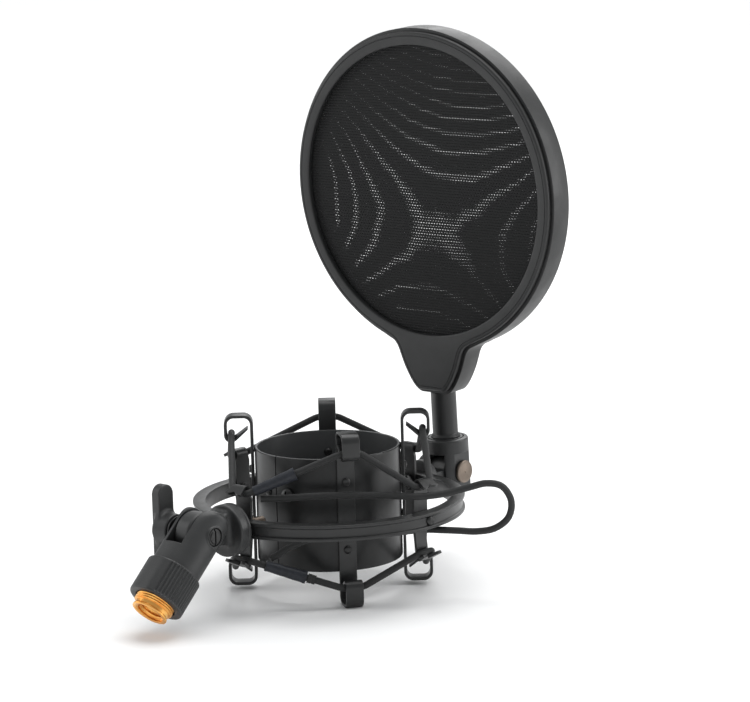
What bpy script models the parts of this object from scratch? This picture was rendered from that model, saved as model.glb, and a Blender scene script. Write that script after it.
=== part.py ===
"""Elastic shock mount for a studio microphone, with a stand swivel and a round pop filter.

Frame: +Z up, the stand swivel points along -Y, the pop filter stands on the +Y side, and every
pivot bolt lies along X. The lowest hooks rest on z = 0. Lengths are metres.
"""
import math

import bmesh
import bpy
from mathutils import Matrix, Vector

MM = 0.001
GAP = 0.3 * MM                 # clearance between pieces that touch on the real object

# Where the ring's axis stands, so that the origin is the middle of the object's footprint
RING_AXIS_Y = 12.36 * MM

# Cradle: the thin tube that holds the microphone, and its four strap hooks
TUBE_R = 28.9 * MM
TUBE_WALL = 1.1 * MM
TUBE_LOW = 12.4 * MM
TUBE_HIGH = 57.4 * MM
SPLIT_AZIMUTH = -92.0
SPLIT_WIDTH = 1.0 * MM
LINER_WALL = 1.4 * MM
LINER_LOW = 23.8 * MM
LINER_HIGH = 45.8 * MM
LINER_MARGIN = 26.0            # degrees of bare wall on each side of the split
CLAMP_AZIMUTH = -79.8
CLAMP_Z = 42.7 * MM
HOOK_AZIMUTHS = (41.6, 132.7, 223.3, -34.0)
HOOK_LIFTS = (1.7 * MM, 0.0, 1.7 * MM, 0.0)   # the straps are fitted by hand, two of them higher
STRAP_WIDTH = 7.0 * MM
STRAP_THICK = 1.2 * MM
STRAP_HEIGHT = 69.0 * MM       # over both hooks
HOOK_CORNER_R = 3.2 * MM
HOOK_TAB = 6.5 * MM            # straight end of the strap past its cord seat
HOOK_TAB_ANGLE = 39.0          # degrees that the end rises towards the tube
STRAP_RIVET_INSET = 9.0 * MM   # from each end of the tube

# Outer ring and the four posts that carry the elastic
RING_R_IN = 48.9 * MM
RING_R_OUT = 54.1 * MM
RING_LOW = 30.5 * MM
RING_HIGH = 36.8 * MM
RING_FLANGE = 1.1 * MM
RING_RECESS = 0.7 * MM
POST_THICK = 1.2 * MM
POST_LOW = 15.7 * MM
POST_HIGH = 51.7 * MM
POST_HALF_MIDDLE = 3.5 * MM
POST_HALF_NECK = 2.3 * MM
POST_HALF_HORN = 3.3 * MM
POST_HORN = 4.2 * MM           # length of the bent, forked end
POST_BEND = 28.0               # degrees that the forked end leans outwards

# Elastic cord
CORD_R = 1.35 * MM
HOOK_CORD_R = 37.9 * MM        # distance from the ring's axis to the cord in a hook
HOOK_CORD_TOP = 61.0 * MM
POST_CORD_TOP = 46.9 * MM
POST_CORD_LOW = 20.5 * MM
SLEEVE_R = 2.35 * MM

# Stand swivel
SWIVEL_Y = -74.1 * MM          # pivot, from the ring's axis
SWIVEL_Z = 35.3 * MM
SWIVEL_DROP = 43.5             # degrees that the fork points below level
FLANGE_R = 9.5 * MM
FLANGE_THICK = 5.7 * MM
TONGUE_R = 9.0 * MM
TONGUE_THICK = 7.6 * MM
FORK_R = 9.75 * MM
FORK_SLOT = 8.2 * MM
FORK_SLOT_DEPTH = 9.5 * MM
BARREL_R = 11.1 * MM
BARREL_START = 17.6 * MM
BARREL_END = 32.4 * MM
ADAPTER_R = 7.9 * MM           # 5/8 inch outside thread
ADAPTER_BORE_R = 4.9 * MM      # 3/8 inch inside thread
ADAPTER_END = 37.0 * MM
PIVOT_BOLT_R = 2.5 * MM
WING_X = -18.2 * MM            # middle plane of the hand lever's paddles

# Pop filter yoke, stem and hoop
FILTER_Y = 72.4 * MM           # pivot, from the ring's axis
FILTER_PIVOT_Z = 34.4 * MM
FILTER_LEAN = 2.8              # degrees that the filter leans towards the cradle at rest
FILTER_TURN = 1.9              # degrees that the hoop is turned on its stem at rest
YOKE_R = 8.75 * MM
YOKE_LOW = -9.0 * MM           # heights from the pivot, along the stem
YOKE_HIGH = 13.8 * MM
YOKE_SLOT = 5.6 * MM
YOKE_FLAT = 7.4 * MM           # half-width over the two bolt faces
STEM_R = 5.35 * MM
HOOP_RISE = 117.8 * MM
HOOP_R = 66.2 * MM
HOOP_FRONT = -8.0 * MM         # depths from the stem's axis
HOOP_BACK = 4.5 * MM
HOOP_WALL = 1.8 * MM
HOOP_OPENING_R = 59.5 * MM
MESH_R = 62.4 * MM
BEZEL_R = 64.8 * MM
BEZEL_THICK = 2.0 * MM
NECK_DROP = 84.2 * MM          # from the hoop's centre to the neck's lower end

GLOBAL_SHIFT = Vector((0.0, RING_AXIS_Y, 0.0))


def clear_scene():
    for obj in list(bpy.data.objects):
        bpy.data.objects.remove(obj, do_unlink=True)


def material(name, colour, roughness, metallic):
    mat = bpy.data.materials.new(name)
    mat.use_nodes = True
    shader = mat.node_tree.nodes["Principled BSDF"]
    shader.inputs["Base Color"].default_value = (*colour, 1.0)
    shader.inputs["Roughness"].default_value = roughness
    shader.inputs["Metallic"].default_value = metallic
    return mat


# ---------------------------------------------------------------- mesh helpers

def to_object(name, bm, mat, parent=None, location=(0, 0, 0), rotation=(0, 0, 0)):
    """Turns a bmesh into a named object placed under its parent."""
    bmesh.ops.recalc_face_normals(bm, faces=bm.faces)
    mesh = bpy.data.meshes.new(name)
    bm.to_mesh(mesh)
    bm.free()
    mesh.shade_smooth()
    mesh.set_sharp_from_angle(angle=math.radians(35))
    mesh.materials.append(mat)
    obj = bpy.data.objects.new(name, mesh)
    bpy.context.scene.collection.objects.link(obj)
    obj.parent = parent
    obj.location = location
    obj.rotation_euler = rotation
    return obj


def turned(profile, steps=32, bm=None, matrix=None):
    """A solid of revolution about Z from a closed (radius, height) outline."""
    bm = bm or bmesh.new()
    matrix = matrix or Matrix.Identity(4)
    rings = []
    for radius, height in profile:
        if radius < 1e-7:
            pole = bm.verts.new(matrix @ Vector((0, 0, height)))
            rings.append([pole] * steps)
            continue
        ring = []
        for i in range(steps):
            turn = 2 * math.pi * i / steps
            point = Vector((radius * math.cos(turn), radius * math.sin(turn), height))
            ring.append(bm.verts.new(matrix @ point))
        rings.append(ring)
    for a, b in zip(rings, rings[1:] + rings[:1]):
        for i in range(steps):
            j = (i + 1) % steps
            corners = []
            for vert in (a[i], a[j], b[j], b[i]):
                if vert not in corners:
                    corners.append(vert)
            if len(corners) > 2:
                bm.faces.new(corners)
    return bm


def rod(radius, low, high, steps=16, bm=None, matrix=None):
    """A plain cylinder along Z."""
    profile = [(0, low), (radius, low), (radius, high), (0, high)]
    return turned(profile, steps, bm, matrix)


def extruded(outline, low, high):
    """A flat (a, b) outline in the local XY plane, given thickness along Z."""
    bm = bmesh.new()
    bottom = [bm.verts.new((a, b, low)) for a, b in outline]
    top = [bm.verts.new((a, b, high)) for a, b in outline]
    bm.faces.new(bottom)
    bm.faces.new(top)
    count = len(outline)
    for i in range(count):
        j = (i + 1) % count
        bm.faces.new((bottom[i], bottom[j], top[j], top[i]))
    return bm


def cell_solid(rows, columns, point, present=None):
    """A closed shell over a grid of cells; point(row, column, side) places side 0 and side 1."""
    bm = bmesh.new()
    verts = {}

    def vert(i, j, side):
        key = (i, j, side)
        if key not in verts:
            verts[key] = bm.verts.new(point(i, j, side))
        return verts[key]

    def filled(i, j):
        inside = 0 <= i < rows and 0 <= j < columns
        return inside and (present is None or present(i, j))

    for i in range(rows):
        for j in range(columns):
            if not filled(i, j):
                continue
            corners = ((i, j), (i + 1, j), (i + 1, j + 1), (i, j + 1))
            bm.faces.new([vert(*c, 0) for c in corners])
            bm.faces.new([vert(*c, 1) for c in corners])
            edges = (((i, j), (i, j + 1), (i - 1, j)), ((i + 1, j), (i + 1, j + 1), (i + 1, j)),
                     ((i, j), (i + 1, j), (i, j - 1)), ((i, j + 1), (i + 1, j + 1), (i, j + 1)))
            for start, end, beyond in edges:
                if not filled(*beyond):
                    bm.faces.new((vert(*start, 0), vert(*end, 0), vert(*end, 1), vert(*start, 1)))
    return bm


def boolean(obj, other, operation="DIFFERENCE"):
    """Cuts, joins or intersects obj with a guide object that isn't a piece itself."""
    other.hide_render = True
    other.display_type = "WIRE"
    modifier = obj.modifiers.new(operation.title(), "BOOLEAN")
    modifier.operation = operation
    modifier.object = other
    modifier.solver = "EXACT"


def cord_object(name, points, radius, mat, parent, cyclic=False):
    """A round cord through points, as a bevelled curve."""
    curve = bpy.data.curves.new(name, "CURVE")
    curve.dimensions = "3D"
    curve.bevel_depth = radius
    curve.bevel_resolution = 2
    curve.use_fill_caps = True
    spline = curve.splines.new("POLY")
    spline.points.add(len(points) - 1)
    for slot, place in zip(spline.points, points):
        slot.co = (*place, 1.0)
    spline.use_cyclic_u = cyclic
    curve.materials.append(mat)
    obj = bpy.data.objects.new(name, curve)
    bpy.context.scene.collection.objects.link(obj)
    obj.parent = parent
    return obj


# ---------------------------------------------------------------- path helpers

def polar(radius, azimuth, z):
    turn = math.radians(azimuth)
    return Vector((radius * math.cos(turn), radius * math.sin(turn), z))


def tangent(azimuth):
    turn = math.radians(azimuth)
    return Vector((-math.sin(turn), math.cos(turn), 0.0))


def arc(centre, radius, start, end, steps):
    """Points on an arc in a plane, with the angles in degrees."""
    points = []
    for i in range(steps + 1):
        turn = math.radians(start + (end - start) * i / steps)
        points.append((centre[0] + radius * math.cos(turn), centre[1] + radius * math.sin(turn)))
    return points


def catmull(points, per_span):
    """A smooth open curve through every point."""
    path = []
    last = len(points) - 1
    for i in range(last):
        before = points[max(i - 1, 0)]
        start, end = points[i], points[i + 1]
        after = points[min(i + 2, last)]
        for k in range(per_span):
            t = k / per_span
            path.append(0.5 * (2 * start + (end - before) * t
                               + (2 * before - 5 * start + 4 * end - after) * t ** 2
                               + (3 * start - before - 3 * end + after) * t ** 3))
    path.append(points[last])
    return path


def softened(corners, cut, per_corner=4):
    """A closed run of straight stretches whose corners are rounded over the length cut."""
    path = []
    count = len(corners)
    for i in range(count):
        before, corner, after = corners[i - 1], corners[i], corners[(i + 1) % count]
        start = corner + (before - corner).normalized() * cut
        end = corner + (after - corner).normalized() * cut
        for k in range(per_corner + 1):
            t = k / per_corner
            path.append((1 - t) ** 2 * start + 2 * t * (1 - t) * corner + t ** 2 * end)
    return path


def facing(azimuth, radius, z):
    """A frame at a point of the ring whose Z axis points outwards along the azimuth."""
    place = Matrix.Translation(polar(radius, azimuth, z))
    turn = Matrix.Rotation(math.radians(azimuth), 4, "Z")
    return place @ turn @ Matrix.Rotation(math.pi / 2, 4, "Y")


# ---------------------------------------------------------------- outer frame

def make_ring(mat, parent, holes):
    web = RING_R_OUT - RING_RECESS
    profile = [(RING_R_IN, RING_LOW), (RING_R_OUT, RING_LOW),
               (RING_R_OUT, RING_LOW + RING_FLANGE), (web, RING_LOW + 1.4 * RING_FLANGE),
               (web, RING_HIGH - 1.4 * RING_FLANGE), (RING_R_OUT, RING_HIGH - RING_FLANGE),
               (RING_R_OUT, RING_HIGH), (RING_R_IN, RING_HIGH)]
    ring = to_object("outer_ring", turned(profile, 48), mat, parent)
    boolean(ring, holes)


def post_stations():
    """(height along the post, radius, half-width) from the bottom horn to the top horn."""
    middle = (POST_LOW + POST_HIGH) / 2
    half = (POST_HIGH - POST_LOW) / 2
    lean = math.radians(POST_BEND)
    r_mid = RING_R_IN - GAP - POST_THICK / 2
    straight = half - POST_HORN * math.cos(lean)
    upper = [(0.0, r_mid, POST_HALF_MIDDLE), (straight * 0.45, r_mid, POST_HALF_MIDDLE),
             (straight * 0.85, r_mid, POST_HALF_NECK), (straight, r_mid, POST_HALF_NECK),
             (straight + 0.4 * POST_HORN * math.cos(lean), r_mid + 0.4 * POST_HORN * math.sin(lean),
              POST_HALF_NECK * 1.15),
             (half, r_mid + POST_HORN * math.sin(lean), POST_HALF_HORN)]
    lower = [(-height, radius, width) for height, radius, width in reversed(upper[1:])]
    return [(middle + height, radius, width) for height, radius, width in lower + upper]


def make_post(index, azimuth, mat, parent, holes):
    """A tapered plate whose two ends fork into horns that lean outwards."""
    stations = post_stations()
    rows = len(stations) - 1
    notch = 0.32

    def place(i, j, side):
        z, radius, half = stations[i]
        across = (-half, -half * notch, half * notch, half)[j]
        depth = (side - 0.5) * POST_THICK
        return polar(radius + depth, azimuth, z) + tangent(azimuth) * across

    def present(i, j):
        return j != 1 or 0 < i < rows - 1

    post = to_object(f"band_post_{index}", cell_solid(rows, 3, place, present), mat, parent)
    boolean(post, holes)


def fixing(azimuth, z, stations, name, mat, parent, steps=16):
    """A headed pin that lies along a radius; stations are (pin radius, distance from the axis)."""
    bm = turned([(0, stations[0][1])] + stations + [(0, stations[-1][1])], steps,
                matrix=facing(azimuth, 0, z))
    return to_object(name, bm, mat, parent)


def make_frame_holes():
    """Guides for the holes through the ring and the posts."""
    bm = bmesh.new()
    for azimuth, radius in ((0, 1.4), (90, 2.3), (180, 1.4), (270, 2.3)):
        matrix = facing(azimuth, 0, (RING_LOW + RING_HIGH) / 2)
        rod(radius * MM, 42 * MM, 58 * MM, 12, bm, matrix)
    return to_object("guide_frame_holes", bm, PAINT)


def make_post_fixings(parent):
    z = (RING_LOW + RING_HIGH) / 2
    inner = RING_R_IN - POST_THICK - 2 * GAP
    web = RING_R_OUT - RING_RECESS + GAP
    for index, azimuth in ((1, 0), (2, 180)):
        pin = [(1.3 * MM, inner - 0.9 * MM), (2.0 * MM, inner - 0.5 * MM), (2.0 * MM, inner),
               (1.1 * MM, inner), (1.1 * MM, web), (1.5 * MM, web), (1.5 * MM, web + 0.4 * MM),
               (1.0 * MM, web + 0.8 * MM)]
        fixing(azimuth, z, pin, f"post_rivet_{index}", STEEL, parent, 10)
    for name, azimuth, reach in (("filter_bracket_screw", 90, 2.7), ("swivel_fixing_screw", 270, 4.4)):
        end = RING_R_OUT + GAP + reach * MM
        pin = [(2.2 * MM, inner - 2.6 * MM), (3.4 * MM, inner - 1.8 * MM), (3.5 * MM, inner),
               (2.0 * MM, inner), (2.0 * MM, end)]
        fixing(azimuth, z, pin, name, NICKEL, parent, 16)


def tongue_outline(centre, radius, reach, low, high):
    """A round eye at centre with an arm that reaches out to the left, as (y, z)."""
    start = math.degrees(math.asin(high / radius))
    end = math.degrees(math.asin(low / radius))
    points = arc(centre, radius, 180 - start, -180 - end, 20)
    return points + [(reach, centre[1] + low), (reach, centre[1] + high)]


def make_tongue(outline, thick):
    """An outline in the YZ plane, given thickness along X."""
    turn = Matrix(((0, 0, 1, 0), (1, 0, 0, 0), (0, 1, 0, 0), (0, 0, 0, 1)))
    bm = extruded(outline, -thick / 2, thick / 2)
    bmesh.ops.transform(bm, matrix=turn, verts=bm.verts)
    return bm


def cross_hole(name, radius, y, z, parent=None, half=25 * MM):
    """A guide for a hole along X."""
    matrix = Matrix.Translation((0, y, z)) @ Matrix.Rotation(math.pi / 2, 4, "Y")
    return to_object(name, rod(radius, -half, half, 20, matrix=matrix), PAINT, parent)


def make_swivel_bracket(parent):
    """Round flange on the ring, and the tongue that the fork clamps."""
    face = RING_R_OUT + GAP
    back = face + FLANGE_THICK
    z = (RING_LOW + RING_HIGH) / 2
    rim = 0.8 * MM
    hole = face + 4.8 * MM
    profile = [(2.3 * MM, face), (FLANGE_R, face), (FLANGE_R, back - rim), (FLANGE_R - rim, back),
               (0, back), (0, hole), (2.3 * MM, hole)]
    flange = to_object("swivel_bracket", turned(profile, 32, matrix=facing(270, 0, z)), PLASTIC, parent)
    mirrored = [(-y, height) for y, height in
                tongue_outline((-SWIVEL_Y, SWIVEL_Z), TONGUE_R, back - 0.4 * MM, -6.5 * MM, 5.5 * MM)]
    tongue = to_object("guide_swivel_tongue", make_tongue(mirrored, TONGUE_THICK), PLASTIC, parent)
    boolean(flange, tongue, "UNION")
    boolean(flange, cross_hole("guide_swivel_hole", PIVOT_BOLT_R + GAP, SWIVEL_Y, SWIVEL_Z, parent))


def make_filter_bracket(parent):
    """Small flange on the ring's far side, and the tongue for the filter's yoke."""
    face = RING_R_OUT + GAP
    back = face + 3.5 * MM
    hole = face + 3.0 * MM
    z = (RING_LOW + RING_HIGH) / 2
    profile = [(2.3 * MM, face), (7.5 * MM, face), (7.5 * MM, back - 0.6 * MM), (6.9 * MM, back),
               (0, back), (0, hole), (2.3 * MM, hole)]
    flange = to_object("filter_bracket", turned(profile, 32, matrix=facing(90, 0, z)), PLASTIC, parent)
    outline = tongue_outline((FILTER_Y, FILTER_PIVOT_Z), 7.4 * MM, back - 0.4 * MM, -6.0 * MM, 2.2 * MM)
    tongue = to_object("guide_filter_tongue", make_tongue(outline, 5.0 * MM), PLASTIC, parent)
    boolean(flange, tongue, "UNION")
    boolean(flange, cross_hole("guide_filter_hole", 2.6 * MM, FILTER_Y, FILTER_PIVOT_Z, parent))


# ---------------------------------------------------------------- elastic suspension

POST_AZIMUTHS = (0.0, 90.0, 180.0, 270.0)


def elastic_corners(hook_z, post_z):
    """Corner points of one closed zigzag: through a hook, then round the outside of a post."""
    stops = [(azimuth, HOOK_CORD_R, hook_z + lift, 5.2 * MM)
             for azimuth, lift in zip(HOOK_AZIMUTHS, HOOK_LIFTS)]
    stops += [(azimuth, RING_R_IN + CORD_R, post_z, 4.4 * MM) for azimuth in POST_AZIMUTHS]
    stops.sort(key=lambda stop: stop[0] % 360)
    corners = []
    for azimuth, radius, z, half in stops:
        centre = polar(radius, azimuth, z)
        corners += [centre - tangent(azimuth) * half, centre + tangent(azimuth) * half]
    return corners


def sleeve_segment(hook_z, post_z):
    """The straight stretch between the post at 270 degrees and the hook in front of it."""
    post = polar(RING_R_IN + CORD_R, 270.0, post_z) + tangent(270.0) * 4.4 * MM
    hook = polar(HOOK_CORD_R, HOOK_AZIMUTHS[3], hook_z + HOOK_LIFTS[3])
    hook -= tangent(HOOK_AZIMUTHS[3]) * 5.2 * MM
    return post, hook


def make_sleeve(name, hook_z, post_z, start, end, radius, mat, parent):
    """A shrunk tube over part of that stretch; start and end are fractions from the post."""
    post, hook = sleeve_segment(hook_z, post_z)
    low, high = post.lerp(hook, start), post.lerp(hook, end)
    along = (high - low).normalized()
    matrix = Matrix.Translation(low) @ along.to_track_quat("Z", "Y").to_matrix().to_4x4()
    length = (high - low).length
    bore = CORD_R + GAP
    profile = [(bore, 0), (radius, 0), (radius, length), (bore, length)]
    to_object(name, turned(profile, 16, matrix=matrix), mat, parent)


LINK_ROUTE = [
    (7.1, -46.2, 44.7), (13.8, -39.3, 44.6), (22.2, -31.3, 45.0), (31.3, -22.4, 44.9),
    (40.4, -13.7, 44.4), (46.7, -8.5, 44.0), (53.0, -4.2, 43.9), (60.0, 2.4, 44.9),
    (66.2, 8.4, 46.9), (71.1, 13.0, 48.3), (75.3, 17.4, 46.8), (77.2, 20.4, 40.9),
    (75.4, 20.8, 34.0), (69.9, 19.0, 29.2), (63.2, 16.0, 27.6), (57.0, 12.5, 27.7),
    (51.0, 9.1, 27.8), (45.8, 5.7, 27.9), (42.0, -1.4, 28.1), (38.5, -9.5, 28.5),
    (32.7, -17.5, 28.9), (25.9, -24.8, 28.9), (18.8, -31.3, 27.5), (13.0, -37.0, 24.5),
    (9.7, -40.8, 21.6), (8.1, -42.6, 20.4),
]


def make_elastics(parent):
    low_hook = STRAP_HEIGHT - HOOK_CORD_TOP
    for name, hook_z, post_z in (("upper_elastic", HOOK_CORD_TOP, POST_CORD_TOP),
                                 ("lower_elastic", low_hook, POST_CORD_LOW)):
        path = softened(elastic_corners(hook_z, post_z), 2.4 * MM, 2)
        cord_object(name, path, CORD_R, RUBBER, parent, cyclic=True)
    make_sleeve("upper_sleeve", HOOK_CORD_TOP, POST_CORD_TOP, 0.07, 0.51, SLEEVE_R, SLEEVE, parent)
    make_sleeve("lower_sleeve", low_hook, POST_CORD_LOW, 0.12, 0.60, SLEEVE_R, SLEEVE, parent)
    make_sleeve("sleeve_collar", low_hook, POST_CORD_LOW, 0.62, 0.70, 2.0 * MM, RUBBER, parent)
    route = [Vector(point) * MM for point in LINK_ROUTE]
    cord_object("link_cord", catmull(route, 2), CORD_R, RUBBER, parent)


# ---------------------------------------------------------------- cradle

def make_curved_wall(name, r_in, r_out, low, high, start, end, steps, mat, parent):
    """Part of a tube wall between two azimuths."""
    def place(i, j, side):
        azimuth = start + (end - start) * i / steps
        return polar((r_in, r_out)[side], azimuth, (low, high)[j])

    return to_object(name, cell_solid(steps, 1, place), mat, parent)


def make_tube(parent, holes):
    half = math.degrees(SPLIT_WIDTH / 2 / TUBE_R)
    tube = make_curved_wall("cradle_tube", TUBE_R - TUBE_WALL, TUBE_R, TUBE_LOW, TUBE_HIGH,
                            SPLIT_AZIMUTH + half, SPLIT_AZIMUTH + 360 - half, 48, PAINT, parent)
    boolean(tube, holes)
    r_out = TUBE_R - TUBE_WALL - GAP
    r_in = r_out - LINER_WALL
    make_curved_wall("felt_liner", r_in, r_out, LINER_LOW, LINER_HIGH, SPLIT_AZIMUTH + LINER_MARGIN,
                     SPLIT_AZIMUTH + 360 - LINER_MARGIN, 40, FELT, parent)
    plate = make_curved_wall("clamp_plate", r_in, r_out, CLAMP_Z - 5 * MM, CLAMP_Z + 5 * MM,
                             SPLIT_AZIMUTH - 14, SPLIT_AZIMUTH + 20, 8, STEEL, parent)
    boolean(plate, holes)


def hook_path():
    """Middle line of a strap from its top end to its bottom end, as (radius, z)."""
    leg = TUBE_R + GAP + STRAP_THICK / 2
    top = STRAP_HEIGHT - STRAP_THICK / 2
    seat = CORD_R + GAP + STRAP_THICK / 2
    outer = HOOK_CORD_R + seat
    centre = (HOOK_CORD_R, HOOK_CORD_TOP)
    corner = HOOK_CORNER_R
    last = -90 - HOOK_TAB_ANGLE
    seat_arc = arc(centre, seat, last, 0, 5)
    tab = math.radians(180 - HOOK_TAB_ANGLE)
    end = (seat_arc[0][0] + HOOK_TAB * math.cos(tab), seat_arc[0][1] + HOOK_TAB * math.sin(tab))
    upper = [end] + seat_arc
    upper += arc((outer - corner, top - corner), corner, 0, 90, 3)
    upper += arc((leg + corner, top - corner), corner, 90, 180, 3)
    lower = [(radius, STRAP_HEIGHT - z) for radius, z in reversed(upper)]
    return upper + lower


def make_strap(index, azimuth, lift, parent, holes):
    """A flat strip bent into a hook at each end, standing on the tube's outside."""
    path = hook_path()
    rows = len(path) - 1
    normals = []
    for i in range(rows + 1):
        before, after = path[max(i - 1, 0)], path[min(i + 1, rows)]
        across = Vector((-(after[1] - before[1]), after[0] - before[0])).normalized()
        normals.append(across)

    def place(i, j, side):
        depth = (side - 0.5) * STRAP_THICK
        radius = path[i][0] + normals[i].x * depth
        z = path[i][1] + normals[i].y * depth + lift
        return polar(radius, azimuth, z) + tangent(azimuth) * (j - 0.5) * STRAP_WIDTH

    strap = to_object(f"cradle_hook_{index}", cell_solid(rows, 1, place), PAINT, parent)
    boolean(strap, holes)


def strap_rivet_places():
    for azimuth in HOOK_AZIMUTHS:
        for z in (TUBE_LOW + STRAP_RIVET_INSET, TUBE_HIGH - STRAP_RIVET_INSET):
            yield azimuth, z


def make_cradle_holes():
    """Guides for the rivet and screw holes through the tube, the straps and the clamp plate."""
    bm = bmesh.new()
    for azimuth, z in strap_rivet_places():
        rod(1.2 * MM, 26 * MM, 33 * MM, 12, bm, facing(azimuth, 0, z))
    rod(1.7 * MM, 22 * MM, 33 * MM, 12, bm, facing(CLAMP_AZIMUTH, 0, CLAMP_Z))
    rod(1.2 * MM, 22 * MM, 33 * MM, 12, bm, facing(SPLIT_AZIMUTH - 9, 0, CLAMP_Z))
    return to_object("guide_cradle_holes", bm, PAINT)


def make_cradle_fixings(parent):
    inside = TUBE_R - TUBE_WALL - GAP
    outside = TUBE_R + STRAP_THICK + 2 * GAP
    pin = [(1.3 * MM, inside - 0.6 * MM), (1.6 * MM, inside), (0.9 * MM, inside), (0.9 * MM, outside),
           (1.7 * MM, outside), (1.2 * MM, outside + 0.7 * MM)]
    for index, (azimuth, z) in enumerate(strap_rivet_places(), 1):
        fixing(azimuth, z, pin, f"strap_rivet_{index}", STEEL, parent, 10)
    behind = inside - LINER_WALL - GAP
    pin = [(1.5 * MM, behind - 0.6 * MM), (1.6 * MM, behind), (0.9 * MM, behind),
           (0.9 * MM, TUBE_R + GAP), (1.6 * MM, TUBE_R + GAP), (1.2 * MM, TUBE_R + GAP + 0.7 * MM)]
    fixing(SPLIT_AZIMUTH - 9, CLAMP_Z, pin, "clamp_plate_rivet", STEEL, parent, 12)
    head = TUBE_R + GAP
    pin = [(1.4 * MM, behind - 1.6 * MM), (1.4 * MM, head), (2.65 * MM, head),
           (2.65 * MM, head + 1.2 * MM), (1.9 * MM, head + 1.9 * MM)]
    pivot = bpy.data.objects.new("clamp_screw_axis", None)
    bpy.context.scene.collection.objects.link(pivot)
    pivot.parent = parent
    fixing(CLAMP_AZIMUTH, CLAMP_Z, pin, "clamp_screw", NICKEL, pivot, 20)


# ---------------------------------------------------------------- stand swivel

def make_fork(parent):
    """Two rounded cheeks on a round body; local -Z runs from the pivot to the stand."""
    bore = ADAPTER_R + GAP
    floor = -BARREL_START - 1.6 * MM
    profile = [(0, floor), (bore, floor), (bore, -BARREL_END), (BARREL_R - 0.6 * MM, -BARREL_END),
               (BARREL_R, -BARREL_END + 0.6 * MM), (BARREL_R, -BARREL_START - 0.6 * MM),
               (BARREL_R - 0.6 * MM, -BARREL_START), (FORK_R, -BARREL_START), (FORK_R, FORK_R + 1 * MM),
               (0, FORK_R + 1 * MM)]
    fork = to_object("swivel_fork", turned(profile, 36), PLASTIC, parent)
    round_r = FORK_R - 0.05 * MM
    cheek = arc((0, 0), round_r, 0, 180, 16)
    outline = cheek + [(-round_r, -BARREL_START + 0.1 * MM), (-14 * MM, -BARREL_START + 0.1 * MM),
                       (-14 * MM, -40 * MM), (14 * MM, -40 * MM), (14 * MM, -BARREL_START + 0.1 * MM),
                       (round_r, -BARREL_START + 0.1 * MM)]
    keep = to_object("guide_fork_outline", make_tongue(outline, 30 * MM), PLASTIC, parent)
    boolean(fork, keep, "INTERSECT")
    slot = [(-15 * MM, -FORK_SLOT_DEPTH), (15 * MM, -FORK_SLOT_DEPTH), (15 * MM, 15 * MM),
            (-15 * MM, 15 * MM)]
    boolean(fork, to_object("guide_fork_slot", make_tongue(slot, FORK_SLOT), PLASTIC, parent))
    boolean(fork, cross_hole("guide_fork_hole", PIVOT_BOLT_R + GAP, 0, 0, parent))


def along_x(profile, steps, name, mat, parent):
    """A turned piece whose profile heights run along +X."""
    matrix = Matrix.Rotation(math.pi / 2, 4, "Y")
    return to_object(name, turned(profile, steps, matrix=matrix), mat, parent)


def make_swivel_hardware(parent):
    """The pivot bolt through the fork, and the hand lever that tightens it."""
    seat = FORK_R + GAP
    tip = WING_X - 1.5 * MM
    bolt = [(0, tip), (PIVOT_BOLT_R, tip), (PIVOT_BOLT_R, seat), (3.6 * MM, seat),
            (3.6 * MM, seat + 1.2 * MM), (3.0 * MM, seat + 1.8 * MM), (0, seat + 1.8 * MM)]
    along_x(bolt, 24, "swivel_pivot_bolt", STEEL, parent)
    washer = [(PIVOT_BOLT_R + GAP, -seat - 0.8 * MM), (5.5 * MM, -seat - 0.8 * MM), (5.5 * MM, -seat),
              (PIVOT_BOLT_R + GAP, -seat)]
    along_x(washer, 24, "swivel_washer", STEEL, parent)


def make_wing_lever(parent):
    """A hub with a long rounded paddle above and a short one below, on the bolt's end."""
    inner = -(FORK_R + 2 * GAP + 0.8 * MM)
    outer = WING_X - 2.9 * MM
    bore = PIVOT_BOLT_R + GAP
    hub = [(bore, outer), (5.4 * MM, outer), (6.6 * MM, outer + 1.2 * MM), (6.6 * MM, inner),
           (bore, inner)]
    lever = along_x(hub, 24, "wing_lever", PLASTIC, parent)
    outline = ([(4.6 * MM, 3.0 * MM)] + arc((0, 13.2 * MM), 3.9 * MM, 0, 180, 8)
               + [(-4.6 * MM, 3.0 * MM), (-5.6 * MM, -9.6 * MM)]
               + arc((0, -9.6 * MM), 4.0 * MM, 215, 325, 6) + [(5.6 * MM, -9.6 * MM)])
    bm = make_tongue(outline, 4.2 * MM)
    bmesh.ops.translate(bm, vec=(WING_X, 0, 0), verts=bm.verts)
    boolean(lever, to_object("guide_wing_paddles", bm, PLASTIC, parent), "UNION")
    boolean(lever, cross_hole("guide_wing_bore", bore + 0.1 * MM, 0, 0, parent))


def make_adapter(parent):
    """Threaded bush between the swivel's 5/8 inch socket and a 3/8 inch stand."""
    top = -BARREL_START - 1.6 * MM - GAP
    profile = [(ADAPTER_BORE_R, -ADAPTER_END), (ADAPTER_R - 0.9 * MM, -ADAPTER_END),
               (ADAPTER_R - 0.9 * MM, -ADAPTER_END + 2.2 * MM), (ADAPTER_R, -ADAPTER_END + 2.8 * MM),
               (ADAPTER_R, top), (ADAPTER_BORE_R, top)]
    to_object("thread_adapter", turned(profile, 32), BRASS, parent)


# ---------------------------------------------------------------- pop filter

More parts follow.
